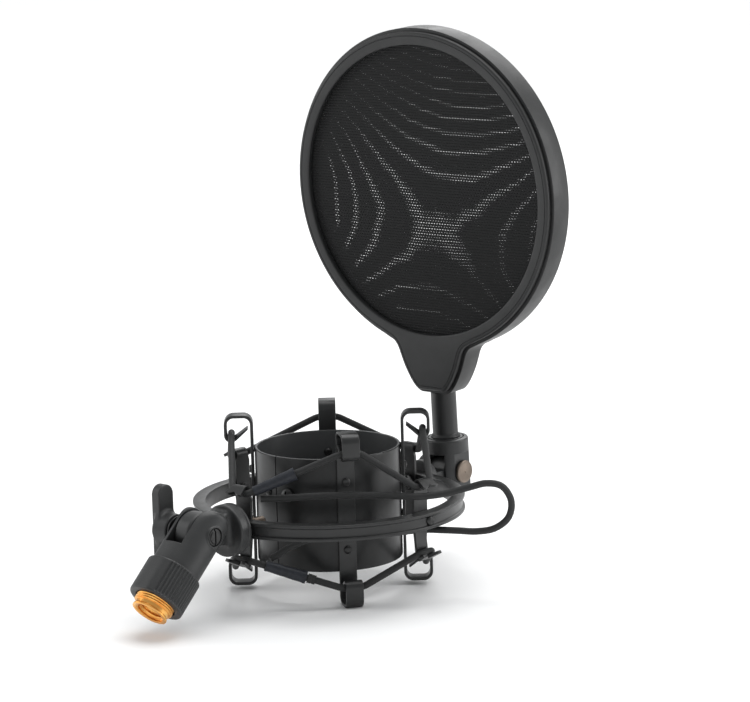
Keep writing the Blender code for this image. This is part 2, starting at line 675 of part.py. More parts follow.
def make_yoke(parent):
    """Slotted collar that clamps the bracket's tongue and carries the stem on top."""
    low, high = YOKE_LOW, YOKE_HIGH
    socket = high - 4.2 * MM
    profile = [(0, low), (YOKE_R - 0.8 * MM, low), (YOKE_R, low + 0.8 * MM), (YOKE_R, high - 1.2 * MM),
               (YOKE_R - 1.2 * MM, high), (3.3 * MM, high), (3.3 * MM, socket), (0, socket)]
    yoke = to_object("filter_yoke", turned(profile, 32), PLASTIC, parent)
    slot_top = 8.0 * MM
    slot = [(-12 * MM, -12 * MM), (12 * MM, -12 * MM), (12 * MM, slot_top), (-12 * MM, slot_top)]
    boolean(yoke, to_object("guide_yoke_slot", make_tongue(slot, YOKE_SLOT), PLASTIC, parent))
    for side in (-1, 1):
        face = [(-12 * MM, -12 * MM), (12 * MM, -12 * MM), (12 * MM, 6.2 * MM), (-12 * MM, 6.2 * MM)]
        bm = make_tongue(face, 5 * MM)
        bmesh.ops.translate(bm, vec=(side * (YOKE_FLAT + 2.5 * MM), 0, 0), verts=bm.verts)
        boolean(yoke, to_object(f"guide_yoke_flat_{side + 1}", bm, PLASTIC, parent))
    boolean(yoke, cross_hole("guide_yoke_hole", 2.6 * MM, 0, 0, parent))


def make_yoke_hardware(parent, nut_parent):
    seat = YOKE_FLAT + GAP
    bolt = [(0, -12.4 * MM), (2.3 * MM, -12.4 * MM), (2.3 * MM, seat), (4.7 * MM, seat),
            (4.7 * MM, seat + 1.6 * MM), (4.0 * MM, seat + 2.4 * MM), (0, seat + 2.4 * MM)]
    along_x(bolt, 28, "filter_pivot_bolt", NICKEL, parent)
    washer = [(2.6 * MM, -seat - 0.7 * MM), (4.9 * MM, -seat - 0.7 * MM), (4.9 * MM, -seat),
              (2.6 * MM, -seat)]
    along_x(washer, 24, "filter_washer", STEEL, parent)
    inner = -seat - 0.7 * MM - GAP
    nut = [(2.6 * MM, inner - 4.2 * MM), (4.2 * MM, inner - 4.2 * MM), (4.8 * MM, inner - 3.6 * MM),
           (4.8 * MM, inner), (2.6 * MM, inner)]
    along_x(nut, 24, "filter_clamp_nut", NICKEL, nut_parent)


def neck_outline():
    """Right half of the hoop with its tulip-shaped neck, from the bottom up, as (x, z)."""
    drop = NECK_DROP
    side = [(6.8, 0.0), (8.6, 1.0), (11.2, 4.0), (14.0, 8.8), (16.0, 13.4), (17.2, 16.6), (18.2, 18.7),
            (19.9, 20.4), (22.4, 21.5)]
    points = [(x * MM, z * MM - drop) for x, z in side]
    first = math.degrees(math.asin(25.3 * MM / HOOP_R))
    return points + arc((0, 0), HOOP_R, -90 + first, 90, 26)


def hoop_outline(inset):
    """The whole outline about the hoop's centre, moved inwards by inset along its normals."""
    right = neck_outline()
    left = [(-x, z) for x, z in reversed(right[:-1])]
    loop = [Vector(point) for point in right + left]
    count = len(loop)
    moved = []
    for i in range(count):
        along = (loop[(i + 1) % count] - loop[i - 1]).normalized()
        moved.append(loop[i] + Vector((-along.y, along.x)) * inset)
    return moved


def loop_solid(loops):
    """Bridges closed loops of equal length, each a list of points, into a closed ring."""
    bm = bmesh.new()
    rings = [[bm.verts.new(point) for point in loop] for loop in loops]
    count = len(rings[0])
    for a, b in zip(rings, rings[1:] + rings[:1]):
        for i in range(count):
            j = (i + 1) % count
            bm.faces.new((a[i], a[j], b[j], b[i]))
    return bm


def circle_loop(radius, outline):
    """Points on a circle, one on the same bearing as each point of the outline."""
    return [point.normalized() * radius for point in outline]


def at_depth(loop, y):
    return [Vector((point.x, y, point.y)) for point in loop]


def make_hoop(parent):
    """Rear shell, front bezel, two meshes and the spacer between them; y is from the stem."""
    front, back = HOOP_FRONT, HOOP_BACK
    shell_front = front + BEZEL_THICK + GAP
    outer = hoop_outline(0.0)
    inner = hoop_outline(HOOP_WALL)
    opening = circle_loop(HOOP_OPENING_R, outer)
    seat = circle_loop(HOOP_OPENING_R + 1.8 * MM, outer)
    seat_y = back - 3.9 * MM
    floor_y = back - 1.3 * MM
    soft = 0.9 * MM
    loops = [at_depth(outer, shell_front), at_depth(outer, back - soft),
             at_depth(hoop_outline(soft), back), at_depth(opening, back), at_depth(opening, seat_y),
             at_depth(seat, seat_y), at_depth(seat, floor_y), at_depth(inner, floor_y),
             at_depth(inner, shell_front)]
    shell = to_object("rear_shell", loop_solid(loops), PLASTIC, parent)
    holes = bmesh.new()
    rod(3.1 * MM, -NECK_DROP - 4 * MM, -NECK_DROP + 4 * MM, 16, holes)
    boolean(shell, to_object("guide_stem_hole", holes, PLASTIC, parent))
    edge = HOOP_R - BEZEL_R
    bezel = hoop_outline(edge)
    loops = [at_depth(hoop_outline(edge + 0.5 * MM), front), at_depth(bezel, front + 0.5 * MM),
             at_depth(bezel, front + BEZEL_THICK), at_depth(opening, front + BEZEL_THICK),
             at_depth(opening, front + 0.5 * MM), at_depth(circle_loop(HOOP_OPENING_R + 0.5 * MM, outer), front)]
    cover = to_object("front_bezel", loop_solid(loops), PLASTIC, parent)
    holes = bmesh.new()
    bore = 1.5 * MM
    for x in (-9 * MM, 9 * MM):
        matrix = Matrix.Translation((x, 0, -67 * MM)) @ Matrix.Rotation(-math.pi / 2, 4, "X")
        rod(bore, front + 0.9 * MM, back + 2 * MM, 12, holes, matrix)
    guide = to_object("guide_neck_screws", holes, PLASTIC, parent)
    boolean(shell, guide)
    boolean(cover, guide)
    make_meshes(front + BEZEL_THICK, seat_y, parent)
    make_neck_screws(front + 1.2 * MM, back + GAP, parent)


def make_meshes(front, seat_y, parent):
    """Two stretched meshes, and the spacer ring that keeps them apart."""
    thick = 0.3 * MM
    turn = Matrix.Rotation(-math.pi / 2, 4, "X")
    for name, low in (("front_mesh", front + GAP), ("rear_mesh", seat_y - GAP - thick)):
        to_object(name, rod(MESH_R, low, low + thick, 48, matrix=turn), MESH, parent)
    low, high = front + 2 * GAP + thick, seat_y - 2 * GAP - thick
    profile = [(HOOP_OPENING_R, low), (MESH_R, low), (MESH_R, high), (HOOP_OPENING_R, high)]
    to_object("mesh_spacer", turned(profile, 48, matrix=turn), PLASTIC, parent)


def make_neck_screws(low, seat, parent):
    pin = [(0, low), (1.2 * MM, low), (1.2 * MM, seat), (2.3 * MM, seat), (1.8 * MM, seat + 1 * MM),
           (0, seat + 1.2 * MM)]
    for index, x in ((1, -9 * MM), (2, 9 * MM)):
        matrix = Matrix.Translation((x, 0, -67 * MM)) @ Matrix.Rotation(-math.pi / 2, 4, "X")
        to_object(f"neck_screw_{index}", turned(pin, 12, matrix=matrix), STEEL, parent)


def make_stem(parent):
    """Round stem: a spigot in the yoke's socket, and another inside the hoop's neck."""
    shoulder = YOKE_HIGH + GAP - HOOP_RISE
    foot = shoulder - 4.0 * MM
    top = -NECK_DROP - GAP
    profile = [(0, foot), (3.0 * MM, foot), (3.0 * MM, shoulder), (STEM_R, shoulder),
               (STEM_R, top), (2.8 * MM, top), (2.8 * MM, top + 14 * MM), (0, top + 14 * MM)]
    to_object("filter_stem", turned(profile, 32), PLASTIC, parent)


# ---------------------------------------------------------------- assembly

def axis_empty(name, location, rotation=(0, 0, 0), parent=None):
    empty = bpy.data.objects.new(name, None)
    bpy.context.scene.collection.objects.link(empty)
    empty.parent = parent
    empty.location = location
    empty.rotation_euler = rotation
    return empty


clear_scene()
PAINT = material("satin_black_metal", (0.018, 0.018, 0.019), 0.38, 0.6)
PLASTIC = material("black_plastic", (0.028, 0.029, 0.030), 0.5, 0.0)
RUBBER = material("elastic_cord", (0.016, 0.016, 0.018), 0.7, 0.0)
SLEEVE = material("shrink_sleeve", (0.030, 0.036, 0.048), 0.45, 0.0)
FELT = material("felt", (0.02, 0.02, 0.02), 0.95, 0.0)
MESH = material("filter_mesh", (0.012, 0.013, 0.013), 0.8, 0.0)
BRASS = material("gold_brass", (0.90, 0.42, 0.08), 0.25, 1.0)
NICKEL = material("nickel", (0.55, 0.50, 0.46), 0.28, 1.0)
STEEL = material("dark_steel", (0.10, 0.10, 0.10), 0.35, 1.0)

frame_axis = axis_empty("ring_axis", GLOBAL_SHIFT)
cradle_axis = axis_empty("cradle_axis", (0, 0, 0), parent=frame_axis)
frame_holes = make_frame_holes()
frame_holes.parent = frame_axis
make_ring(PAINT, frame_axis, frame_holes)
for number, bearing in enumerate(POST_AZIMUTHS, 1):
    make_post(number, bearing, PAINT, frame_axis, frame_holes)
make_post_fixings(frame_axis)
make_swivel_bracket(frame_axis)
make_filter_bracket(frame_axis)
make_elastics(frame_axis)

cradle_holes = make_cradle_holes()
cradle_holes.parent = cradle_axis
make_tube(cradle_axis, cradle_holes)
for number, (bearing, raised) in enumerate(zip(HOOK_AZIMUTHS, HOOK_LIFTS), 1):
    make_strap(number, bearing, raised, cradle_axis, cradle_holes)
make_cradle_fixings(cradle_axis)

swivel_axis = axis_empty("swivel_axis", (0, SWIVEL_Y, SWIVEL_Z),
                         (math.radians(SWIVEL_DROP - 90), 0, 0), frame_axis)
make_fork(swivel_axis)
make_swivel_hardware(swivel_axis)
make_adapter(axis_empty("adapter_axis", (0, 0, 0), parent=swivel_axis))
upright = axis_empty("wing_axis", (0, SWIVEL_Y, SWIVEL_Z), parent=frame_axis)
make_wing_lever(upright)

yoke_axis = axis_empty("filter_pivot_axis", (0, FILTER_Y, FILTER_PIVOT_Z),
                       (math.radians(FILTER_LEAN), 0, 0), frame_axis)
make_yoke(yoke_axis)
make_yoke_hardware(yoke_axis, axis_empty("filter_nut_axis", (0, 0, 0), parent=yoke_axis))
hoop_axis = axis_empty("stem_axis", (0, 0, HOOP_RISE), (0, 0, math.radians(FILTER_TURN)), yoke_axis)
make_stem(hoop_axis)
make_hoop(hoop_axis)
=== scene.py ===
"""Looks for the elastic shock mount and its pop filter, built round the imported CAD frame.

Every piece is made in the part's own frame: +Z up, the stand swivel along -Y, the pop filter on +Y.
Shapes are worked out in millimetres and scaled to metres as they become meshes.
"""
import math

import bmesh
import bpy
import numpy as np
import openvdb
from mathutils import Matrix, Vector


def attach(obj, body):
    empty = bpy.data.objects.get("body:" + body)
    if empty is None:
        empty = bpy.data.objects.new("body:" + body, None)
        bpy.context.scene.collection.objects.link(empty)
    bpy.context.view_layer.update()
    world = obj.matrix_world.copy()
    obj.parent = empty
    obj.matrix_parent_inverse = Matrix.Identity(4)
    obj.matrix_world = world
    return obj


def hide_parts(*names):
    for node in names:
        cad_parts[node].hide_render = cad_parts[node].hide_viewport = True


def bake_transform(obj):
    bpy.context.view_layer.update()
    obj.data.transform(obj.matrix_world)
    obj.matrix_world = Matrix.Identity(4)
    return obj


MM = 0.001
GAP = 0.3

# Driving values in millimetres and degrees; most are the CAD's own
RING_AXIS = Vector((0.0, 12.36, 0.0))
TUBE_R, TUBE_WALL, TUBE_LOW, TUBE_HIGH = 28.9, 1.1, 12.4, 57.4
SPLIT_AZIMUTH, SPLIT_WIDTH = -92.0, 1.0
LINER_WALL, LINER_LOW, LINER_HIGH, LINER_MARGIN = 1.4, 23.8, 45.8, 26.0
BEHIND_LINER_R = TUBE_R - TUBE_WALL - GAP - LINER_WALL - GAP
CLAMP_AZIMUTH, CLAMP_Z = -79.8, 42.7
HOOK_AZIMUTHS = (41.6, 132.7, 223.3, -34.0)
HOOK_LIFTS = (1.7, 0.0, 1.7, 0.0)
STRAP_WIDTH, STRAP_THICK, STRAP_HEIGHT = 7.0, 1.2, 69.0
HOOK_CORNER_R, HOOK_TAB, HOOK_TAB_ANGLE = 3.2, 6.5, 39.0
RING_R_IN, RING_R_OUT, RING_LOW, RING_HIGH = 48.9, 54.1, 30.5, 36.8
RING_MIDDLE = (RING_LOW + RING_HIGH) / 2
RING_WEB_R = RING_R_OUT - 0.9
BRACKET_FACE = RING_R_OUT + GAP
POST_AZIMUTHS = (0.0, 90.0, 180.0, 270.0)
POST_THICK, POST_REACH = 1.2, 21.6
CORD_R, HOOK_CORD_R, HOOK_CORD_TOP = 1.35, 37.9, 61.0
HOOK_CORD_LOW = STRAP_HEIGHT - HOOK_CORD_TOP
POST_CORD_TOP, POST_CORD_LOW = 46.9, 20.5
CORD_SEAT_HALF = 4.0
ELASTIC_LEVELS = {"upper": (HOOK_CORD_TOP, POST_CORD_TOP), "lower": (HOOK_CORD_LOW, POST_CORD_LOW)}
SWIVEL = Vector((0.0, -74.1, 35.3))
SWIVEL_DROP = 43.5
FORK_R, BARREL_R, BARREL_START, BARREL_END = 9.75, 11.1, 17.6, 32.4
ADAPTER_R, ADAPTER_BORE_R, ADAPTER_END = 7.9, 4.9, 37.0
PIVOT_BOLT_R, WING_X = 2.5, -18.2
FILTER = Vector((0.0, 72.4, 34.4))
FILTER_LEAN, FILTER_TURN = 2.8, 1.9
YOKE_R, YOKE_LOW, YOKE_HIGH, YOKE_FLAT = 8.75, -9.0, 13.8, 7.4
HEAD_SEAT, TONGUE_X = 8.4, 0.35     # not the CAD's: under the bolt's head, middle of the slot
STEM_R, HOOP_RISE, HOOP_R = 5.35, 117.8, 66.2
HOOP_FRONT, HOOP_BACK, HOOP_WALL = -8.0, 4.5, 1.8
HOOP_OPENING_R, MESH_R, BEZEL_R, BEZEL_THICK, NECK_DROP = 59.5, 62.4, 64.8, 2.0, 84.2
NET_SEAT = HOOP_BACK - 3.9
# The link cord's line from its upper end to its lower one, the same list as the CAD's
LINK_ROUTE = (
    (7.1, -46.2, 44.7), (13.8, -39.3, 44.6), (22.2, -31.3, 45.0), (31.3, -22.4, 44.9),
    (40.4, -13.7, 44.4), (46.7, -8.5, 44.0), (53.0, -4.2, 43.9), (60.0, 2.4, 44.9),
    (66.2, 8.4, 46.9), (71.1, 13.0, 48.3), (75.3, 17.4, 46.8), (77.2, 20.4, 40.9),
    (75.4, 20.8, 34.0), (69.9, 19.0, 29.2), (63.2, 16.0, 27.6), (57.0, 12.5, 27.7),
    (51.0, 9.1, 27.8), (45.8, 5.7, 27.9), (42.0, -1.4, 28.1), (38.5, -9.5, 28.5),
    (32.7, -17.5, 28.9), (25.9, -24.8, 28.9), (18.8, -31.3, 27.5), (13.0, -37.0, 24.5),
    (9.7, -40.8, 21.6), (8.1, -42.6, 20.4),
)

SCALE = Matrix.Scale(MM, 4)
RING_FRAME = Matrix.Translation(RING_AXIS)
SWIVEL_FRAME = (RING_FRAME @ Matrix.Translation(SWIVEL)
                @ Matrix.Rotation(math.radians(SWIVEL_DROP - 90), 4, "X"))
WING_FRAME = RING_FRAME @ Matrix.Translation(SWIVEL)
YOKE_FRAME = (RING_FRAME @ Matrix.Translation(FILTER)
              @ Matrix.Rotation(math.radians(FILTER_LEAN), 4, "X"))
HOOP_FRAME = (YOKE_FRAME @ Matrix.Translation((0, 0, HOOP_RISE))
              @ Matrix.Rotation(math.radians(FILTER_TURN), 4, "Z"))
ALONG_X = Matrix.Rotation(math.pi / 2, 4, "Y")
ALONG_Y = Matrix.Rotation(-math.pi / 2, 4, "X")


# ---- camera and light

CAMERA_TURNS = (42.177, 10.182, -1.531)     # azimuth, elevation and roll, in degrees
CAMERA_AIM = Vector((26.82, 12.36, 97.65))
CAMERA_DISTANCE = 1.25                      # in metres
LIT_POINT = Vector((0.0, 0.0, 0.09))        # where the softboxes point, in metres


def linked(name, data):
    obj = bpy.data.objects.new(name, data)
    bpy.context.scene.collection.objects.link(obj)
    return obj


def make_camera():
    """The camera looks from low on the swivel's side at a point between the ring and the hoop."""
    azimuth, elevation, roll = (math.radians(turn) for turn in CAMERA_TURNS)
    back = Vector((math.sin(azimuth) * math.cos(elevation),
                   -math.cos(azimuth) * math.cos(elevation), math.sin(elevation)))
    level = Vector((math.cos(azimuth), math.sin(azimuth), 0.0))
    upright = level.cross(-back)
    right = level * math.cos(roll) + upright * math.sin(roll)
    up = upright * math.cos(roll) - level * math.sin(roll)
    data = bpy.data.cameras.new("studio_camera")
    data.lens = 154.26
    data.sensor_width = 36.0
    data.clip_start = 0.05
    data.clip_end = 60.0
    camera = linked("studio_camera", data)
    turn = Matrix((right, up, back)).transposed().to_4x4()
    camera.matrix_world = Matrix.Translation(CAMERA_AIM * MM + back * CAMERA_DISTANCE) @ turn
    bpy.context.scene.camera = camera


def lamp(name, kind, energy):
    data = bpy.data.lights.new(name, kind)
    data.energy = energy
    return linked(name, data)


def softbox(name, place, size, energy):
    box = lamp(name, "AREA", energy)
    box.data.shape = "RECTANGLE"
    box.data.size, box.data.size_y = size
    box.location = place
    box.rotation_euler = (LIT_POINT - Vector(place)).to_track_quat("-Z", "Y").to_euler()


def make_world():
    """Plain white where the camera sees past the floor; half as bright as a light."""
    world = bpy.data.worlds.new("studio")
    bpy.context.scene.world = world
    world.use_nodes = True
    nodes, links = world.node_tree.nodes, world.node_tree.links
    seen = nodes["Background"]
    seen.inputs["Color"].default_value = (1, 1, 1, 1)
    seen.inputs["Strength"].default_value = 1.05
    lit = nodes.new("ShaderNodeBackground")
    lit.inputs["Color"].default_value = (0.97, 0.99, 1.0, 1)
    lit.inputs["Strength"].default_value = 0.50
    ray = nodes.new("ShaderNodeLightPath")
    mix = nodes.new("ShaderNodeMixShader")
    links.new(ray.outputs["Is Camera Ray"], mix.inputs["Fac"])
    links.new(lit.outputs[0], mix.inputs[1])
    links.new(seen.outputs[0], mix.inputs[2])
    links.new(mix.outputs[0], nodes["World Output"].inputs["Surface"])


def make_studio():
    """A white floor under one broad, even top light, with softboxes for the edges."""
    bpy.context.scene.view_settings.view_transform = "Standard"
    make_world()
    bm = bmesh.new()
    bmesh.ops.create_grid(bm, x_segments=24, y_segments=24, size=12.0)
    look = Graph("sweep_white")
    look.set("Base Color", (0.93, 0.93, 0.93, 1.0))
    look.set("Roughness", look.spread(look.noise(9.0, 3.0), 0.62, 0.75))
    look.set("Specular IOR Level", 0.25)
    to_object("studio_floor", bm, look.mat)
    sun = lamp("top_light", "SUN", 2.1)
    sun.data.angle = math.radians(52)
    sun.rotation_euler = (math.radians(-20), math.radians(-1), 0)
    softbox("left_box", (-1.15, -0.62, 0.45), (0.4, 1.2), 5.0)
    softbox("right_box", (1.1, 1.05, 0.5), (0.35, 1.3), 9.5)
    softbox("back_box", (-0.6, 1.3, 0.9), (1.2, 0.6), 7.0)


# ---- materials

class Graph:
    """A node material with short calls for the few kinds of node the looks need."""

    def __init__(self, name):
        self.mat = bpy.data.materials.new(name)
        self.mat.use_nodes = True
        self.tree = self.mat.node_tree
        self.shader = self.tree.nodes["Principled BSDF"]
        self.at = self.add("ShaderNodeTexCoord").outputs["Object"]

    def add(self, kind, inputs=None, **settings):
        made = self.tree.nodes.new(kind)
        for key, value in settings.items():
            setattr(made, key, value)
        for key, value in (inputs or {}).items():
            self.feed(made.inputs[key], value)
        return made

    def feed(self, socket, value):
        if isinstance(value, bpy.types.NodeSocket):
            self.tree.links.new(value, socket)
        else:
            socket.default_value = value

    def set(self, socket, value):
        self.feed(self.shader.inputs[socket], value)

    def math(self, operation, a, b=0.0, c=0.0):
        return self.add("ShaderNodeMath", {0: a, 1: b, 2: c}, operation=operation).outputs[0]

    def times(self, a, b):
        return self.math("MULTIPLY", a, b)

    def total(self, first, *others):
        for other in others:
            first = self.math("ADD", first, other)
        return first

    def noise(self, scale, detail=2.0, roughness=0.5, at=None):
        inputs = {"Vector": at or self.at, "Scale": scale, "Detail": detail, "Roughness": roughness}
        return self.add("ShaderNodeTexNoise", inputs).outputs["Fac"]

    def spread(self, value, low, high, start=0.3, end=0.7):
        inputs = {"Value": value, "From Min": start, "From Max": end, "To Min": low, "To Max": high}
        return self.add("ShaderNodeMapRange", inputs).outputs["Result"]

    def mix(self, factor, a, b):
        made = self.add("ShaderNodeMix", data_type="RGBA")
        self.feed(made.inputs[0], factor)
        self.feed(made.inputs[6], a)
        self.feed(made.inputs[7], b)
        return made.outputs[2]

    def relief(self, height, distance, strength):
        inputs = {"Height": height, "Distance": distance, "Strength": strength}
        self.set("Normal", self.add("ShaderNodeBump", inputs).outputs["Normal"])

    def parts(self, vector):
        split = self.add("ShaderNodeSeparateXYZ", {0: vector})
        return split.outputs["X"], split.outputs["Y"], split.outputs["Z"]

    def hypot(self, a, b):
        return self.math("SQRT", self.total(self.times(a, a), self.times(b, b)))

    def dust(self, scale, amount, start):
        """How much dust there is: specks, on whatever faces up."""
        normal = self.add("ShaderNodeNewGeometry").outputs["Normal"]
        up = self.spread(self.parts(normal)[2], 0, 1, 0.35, 0.95)
        return self.times(up, self.spread(self.noise(scale, 3.0), 0, amount, start, 0.8))


def grey(value, tint=(1.0, 1.0, 1.0)):
    return (value * tint[0], value * tint[1], value * tint[2], 1.0)


COOL = (0.97, 1.0, 1.02)
DUST = grey(0.12, (1.03, 1.0, 0.95))


def coated(name, base, roughness, peel, dust=0.35, scuff=0.5, depth=0.00003, inside_painted_light=None,
           shine=0.5):
    """Black paint or powder coat: orange peel, soft mottling, a few scuffs, a trace of dust and,
    where asked, painted light inside the tube.
    """
    g = Graph(name)
    mottle = g.noise(90.0, 4.0)
    scratches = g.spread(g.noise(420.0, 8.0, 0.75), 0, scuff, 0.66, 0.74)
    worn = g.times(scratches, g.spread(mottle, 0.2, 1, 0.4, 0.7))
    dusty = g.dust(2600.0, dust, 0.5)
    colour = g.mix(g.spread(mottle, 0, 1), grey(base * 0.85, COOL), grey(base * 1.2, COOL))
    colour = g.mix(worn, colour, grey(base * 1.7 + 0.004))
    colour = g.mix(dusty, colour, DUST)
    if inside_painted_light:
        # inside the tube the colour is painted a lighter grey: painted light standing in for the
        # light the tube's inside catches and reflects
        x, y, _ = g.parts(g.at)
        radius = g.hypot(x, g.math("SUBTRACT", y, RING_AXIS.y * MM))
        inside = g.spread(radius, 1.0, 0.0, (TUBE_R - 0.5) * MM, (TUBE_R - 0.3) * MM)
        colour = g.mix(inside, colour, grey(inside_painted_light, COOL))
    g.set("Base Color", colour)
    rough = g.spread(g.noise(240.0, 5.0), roughness - 0.03, roughness + 0.05)
    g.set("Roughness", g.total(rough, g.times(worn, 0.12), g.times(dusty, 0.3)))
    g.set("Specular IOR Level", shine)
    g.relief(g.noise(peel, 2.0), depth, 0.5)
    return g.mat


def moulded(name, base, roughness, grain):
    """Spark-eroded black plastic: fine even grain, faint flow marks, scuffs that show pale."""
    g = Graph(name)
    flow = g.noise(38.0, 3.0)
    cells = g.add("ShaderNodeTexVoronoi", {"Vector": g.at, "Scale": grain}, feature="SMOOTH_F1")
    pits = g.noise(grain * 1.7, 3.0, 0.6)
    scuffs = g.spread(g.noise(310.0, 9.0, 0.8), 0, 0.6, 0.68, 0.76)
    dusty = g.dust(3100.0, 0.3, 0.52)
    colour = g.mix(g.spread(flow, 0, 1), grey(base * 0.88, COOL), grey(base * 1.15, COOL))
    colour = g.mix(g.spread(pits, 0, 0.35), colour, grey(base * 0.6, COOL))
    colour = g.mix(g.times(scuffs, g.spread(flow, 0, 1)), colour, grey(base * 2.6 + 0.01))
    g.set("Base Color", g.mix(dusty, colour, DUST))
    rough = g.spread(g.noise(150.0, 4.0), roughness - 0.05, roughness + 0.07)
    g.set("Roughness", g.total(rough, g.times(dusty, 0.3)))
    g.set("Specular IOR Level", 0.45)
    g.relief(g.total(cells.outputs["Distance"], g.times(pits, 0.6)), 0.00004, 0.6)
    return g.mat


def metal(name, colour, roughness, axis_scale, depth, tarnish):
    """Plated or turned metal: fine marks, drawn out where axis_scale is uneven, and tarnish."""
    g = Graph(name)
    stretched = g.add("ShaderNodeMapping", {"Vector": g.at, "Scale": axis_scale}).outputs[0]
    lines = g.noise(1.0, 4.0, 0.6, at=stretched)
    patches = g.noise(170.0, 5.0, 0.6)
    dark = tuple(c * 0.5 for c in tarnish) + (1.0,)
    base = g.mix(g.spread(patches, 0, 0.55), colour + (1.0,), tarnish + (1.0,))
    g.set("Base Color", g.mix(g.spread(lines, 0, 0.3, 0.55, 0.8), base, dark))
    g.set("Metallic", 1.0)
    rough = g.spread(patches, roughness - 0.05, roughness + 0.12)
    g.set("Roughness", g.total(rough, g.times(lines, 0.08)))
    g.relief(lines, depth, 0.5)
    return g.mat


def braided(name):
    """Polyester braid over rubber: the strands themselves are in the mesh, this adds the yarn."""
    g = Graph(name)
    yarn = g.noise(6500.0, 3.0, 0.7)
    fuzz = g.noise(900.0, 5.0, 0.7)
    colour = g.mix(g.spread(yarn, 0, 1), grey(0.006, COOL), grey(0.018, COOL))
    g.set("Base Color", g.mix(g.spread(fuzz, 0, 0.5, 0.5, 0.75), colour, grey(0.026)))
    g.set("Roughness", g.spread(fuzz, 0.58, 0.76))
    g.set("Sheen Weight", 0.05)
    g.set("Sheen Roughness", 0.5)
    g.relief(yarn, 0.00006, 0.7)
    return g.mat


def shrunk(name):
    """Heat-shrink tube: bluish black, satin, faintly rippled."""
    g = Graph(name)
    ripple = g.noise(520.0, 2.0)
    fine = g.noise(3600.0, 4.0, 0.6)
    colour = g.mix(g.spread(ripple, 0, 1), (0.011, 0.013, 0.018, 1), (0.019, 0.022, 0.030, 1))
    g.set("Base Color", colour)
    g.set("Roughness", g.spread(fine, 0.40, 0.56))
    g.set("Specular IOR Level", 0.38)
    g.relief(g.total(ripple, g.times(fine, 0.2)), 0.00012, 0.5)
    return g.mat


def felted(name):
    """Black felt: matted fibres in soft clumps."""
    g = Graph(name)
    fibres = g.noise(2400.0, 8.0, 0.8)
    clumps = g.noise(330.0, 4.0)
    g.set("Base Color", g.mix(g.spread(fibres, 0, 1), grey(0.008), grey(0.045)))
    g.set("Roughness", 0.95)
    g.set("Sheen Weight", 0.35)
    g.set("Sheen Roughness", 0.6)
    g.relief(g.total(fibres, clumps), 0.0003, 0.9)
    return g.mat


ROW, COLUMN = 1.15 * MM, 1.38 * MM      # spacing of the knitted holes, up and across
# Half the size of a hole as shares of a column and a row: front net, rear net
FRONT_HOLE, REAR_HOLE = (0.22, 0.11), (0.42, 0.09)
# The rear net's knit is a little coarser than the front net's and is set over from it, in metres.
# Both amounts were worked out so that, from make_camera's side, the two knits line up but for the
# drift that stretch gives. Seen from elsewhere the same nets show other bands.
NET_SCALE = 0.9943
NET_SHIFT = (0.00469, 0.00122)


def stretch(g, u, v):
    """How many rows the rear net has drifted by, in terms of hoop radii across and up."""
    u, v = g.math("SUBTRACT", u, 0.13), g.math("ADD", v, 0.28)
    across = g.times(u, g.math("MULTIPLY_ADD", u, -3.4, g.times(v, 2.5)))
    return g.math("MULTIPLY_ADD", g.times(v, v), 6.0, across)


def knitted(name, rear):
    """Knitted nylon stretched on a ring: rows of holes between yarns.

    The rear net is taken to be stretched unevenly, so its rows drift against the front net's by a
    few spacings, and light comes through only where the holes line up.
    """
    g = Graph(name)
    x, _, z = g.parts(g.at)
    if rear:
        x = g.math("MULTIPLY_ADD", x, NET_SCALE, NET_SHIFT[0])
        z = g.math("MULTIPLY_ADD", z, NET_SCALE, NET_SHIFT[1])
    u = g.math("DIVIDE", x, HOOP_OPENING_R * MM)
    v = g.math("DIVIDE", z, HOOP_OPENING_R * MM)
    row, column = g.math("DIVIDE", z, ROW), g.math("DIVIDE", x, COLUMN)
    wide, high = REAR_HOLE if rear else FRONT_HOLE
    if rear:
        wander = g.math("MULTIPLY_ADD", g.noise(75.0, 2.0), 0.5, -0.25)
        row = g.total(row, stretch(g, u, v), wander)
        # the holes close towards the neck and the top
        low_side = g.spread(g.math("MULTIPLY_ADD", u, -0.55, v), 0.12, 1.0, -0.78, -0.18)
        high_side = g.spread(g.math("MULTIPLY_ADD", u, -0.5, v), 1.0, 0.15, 0.3, 0.75)
        high = g.times(g.times(low_side, high_side), high)
    else:
        # every other row of holes stands half a column over, as knitted loops do
        column = g.math("MULTIPLY_ADD", g.math("FLOOR", row), 0.5, column)
    cell_x = g.math("DIVIDE", g.math("SUBTRACT", g.math("FRACT", column), 0.5), wide)
    cell_z = g.math("DIVIDE", g.math("SUBTRACT", g.math("FRACT", row), 0.5), high)
    far = g.hypot(cell_x, cell_z)
    fuzz = g.noise(5200.0, 4.0, 0.7)
    tone = g.mix(g.spread(fuzz, 0, 1), grey(0.006, COOL), grey(0.016, COOL))
    # the yarn is painted darker towards each hole's rim: painted shade where the yarn turns down
    # into the hole
    g.set("Base Color", g.mix(g.spread(far, 0.0, 1.0, 1.0, 1.9), grey(0.006, COOL), tone))
    g.set("Roughness", g.spread(fuzz, 0.66, 0.82))
    g.set("Specular IOR Level", 0.25)
    g.set("Alpha", g.spread(far, 0.0, 1.0, 0.9, 1.12))
    g.relief(g.total(far, g.times(fuzz, 0.15)), 0.00010, 0.5)
    return g.mat


# ---- meshes

def to_object(name, bm, mat, sharp=38.0):
    bmesh.ops.recalc_face_normals(bm, faces=bm.faces)
    mesh = bpy.data.meshes.new(name)
    bm.to_mesh(mesh)
    bm.free()
    mesh.shade_smooth()
    mesh.set_sharp_from_angle(angle=math.radians(sharp))
    mesh.materials.append(mat)
    return linked(name, mesh)


def piece(obj, body, slot, *nodes):
    """Makes obj ride on a CAD body and stand for those CAD nodes, which it hides; slot is not used.
    """
    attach(obj, body)
    if nodes:
        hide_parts(*nodes)
    return obj


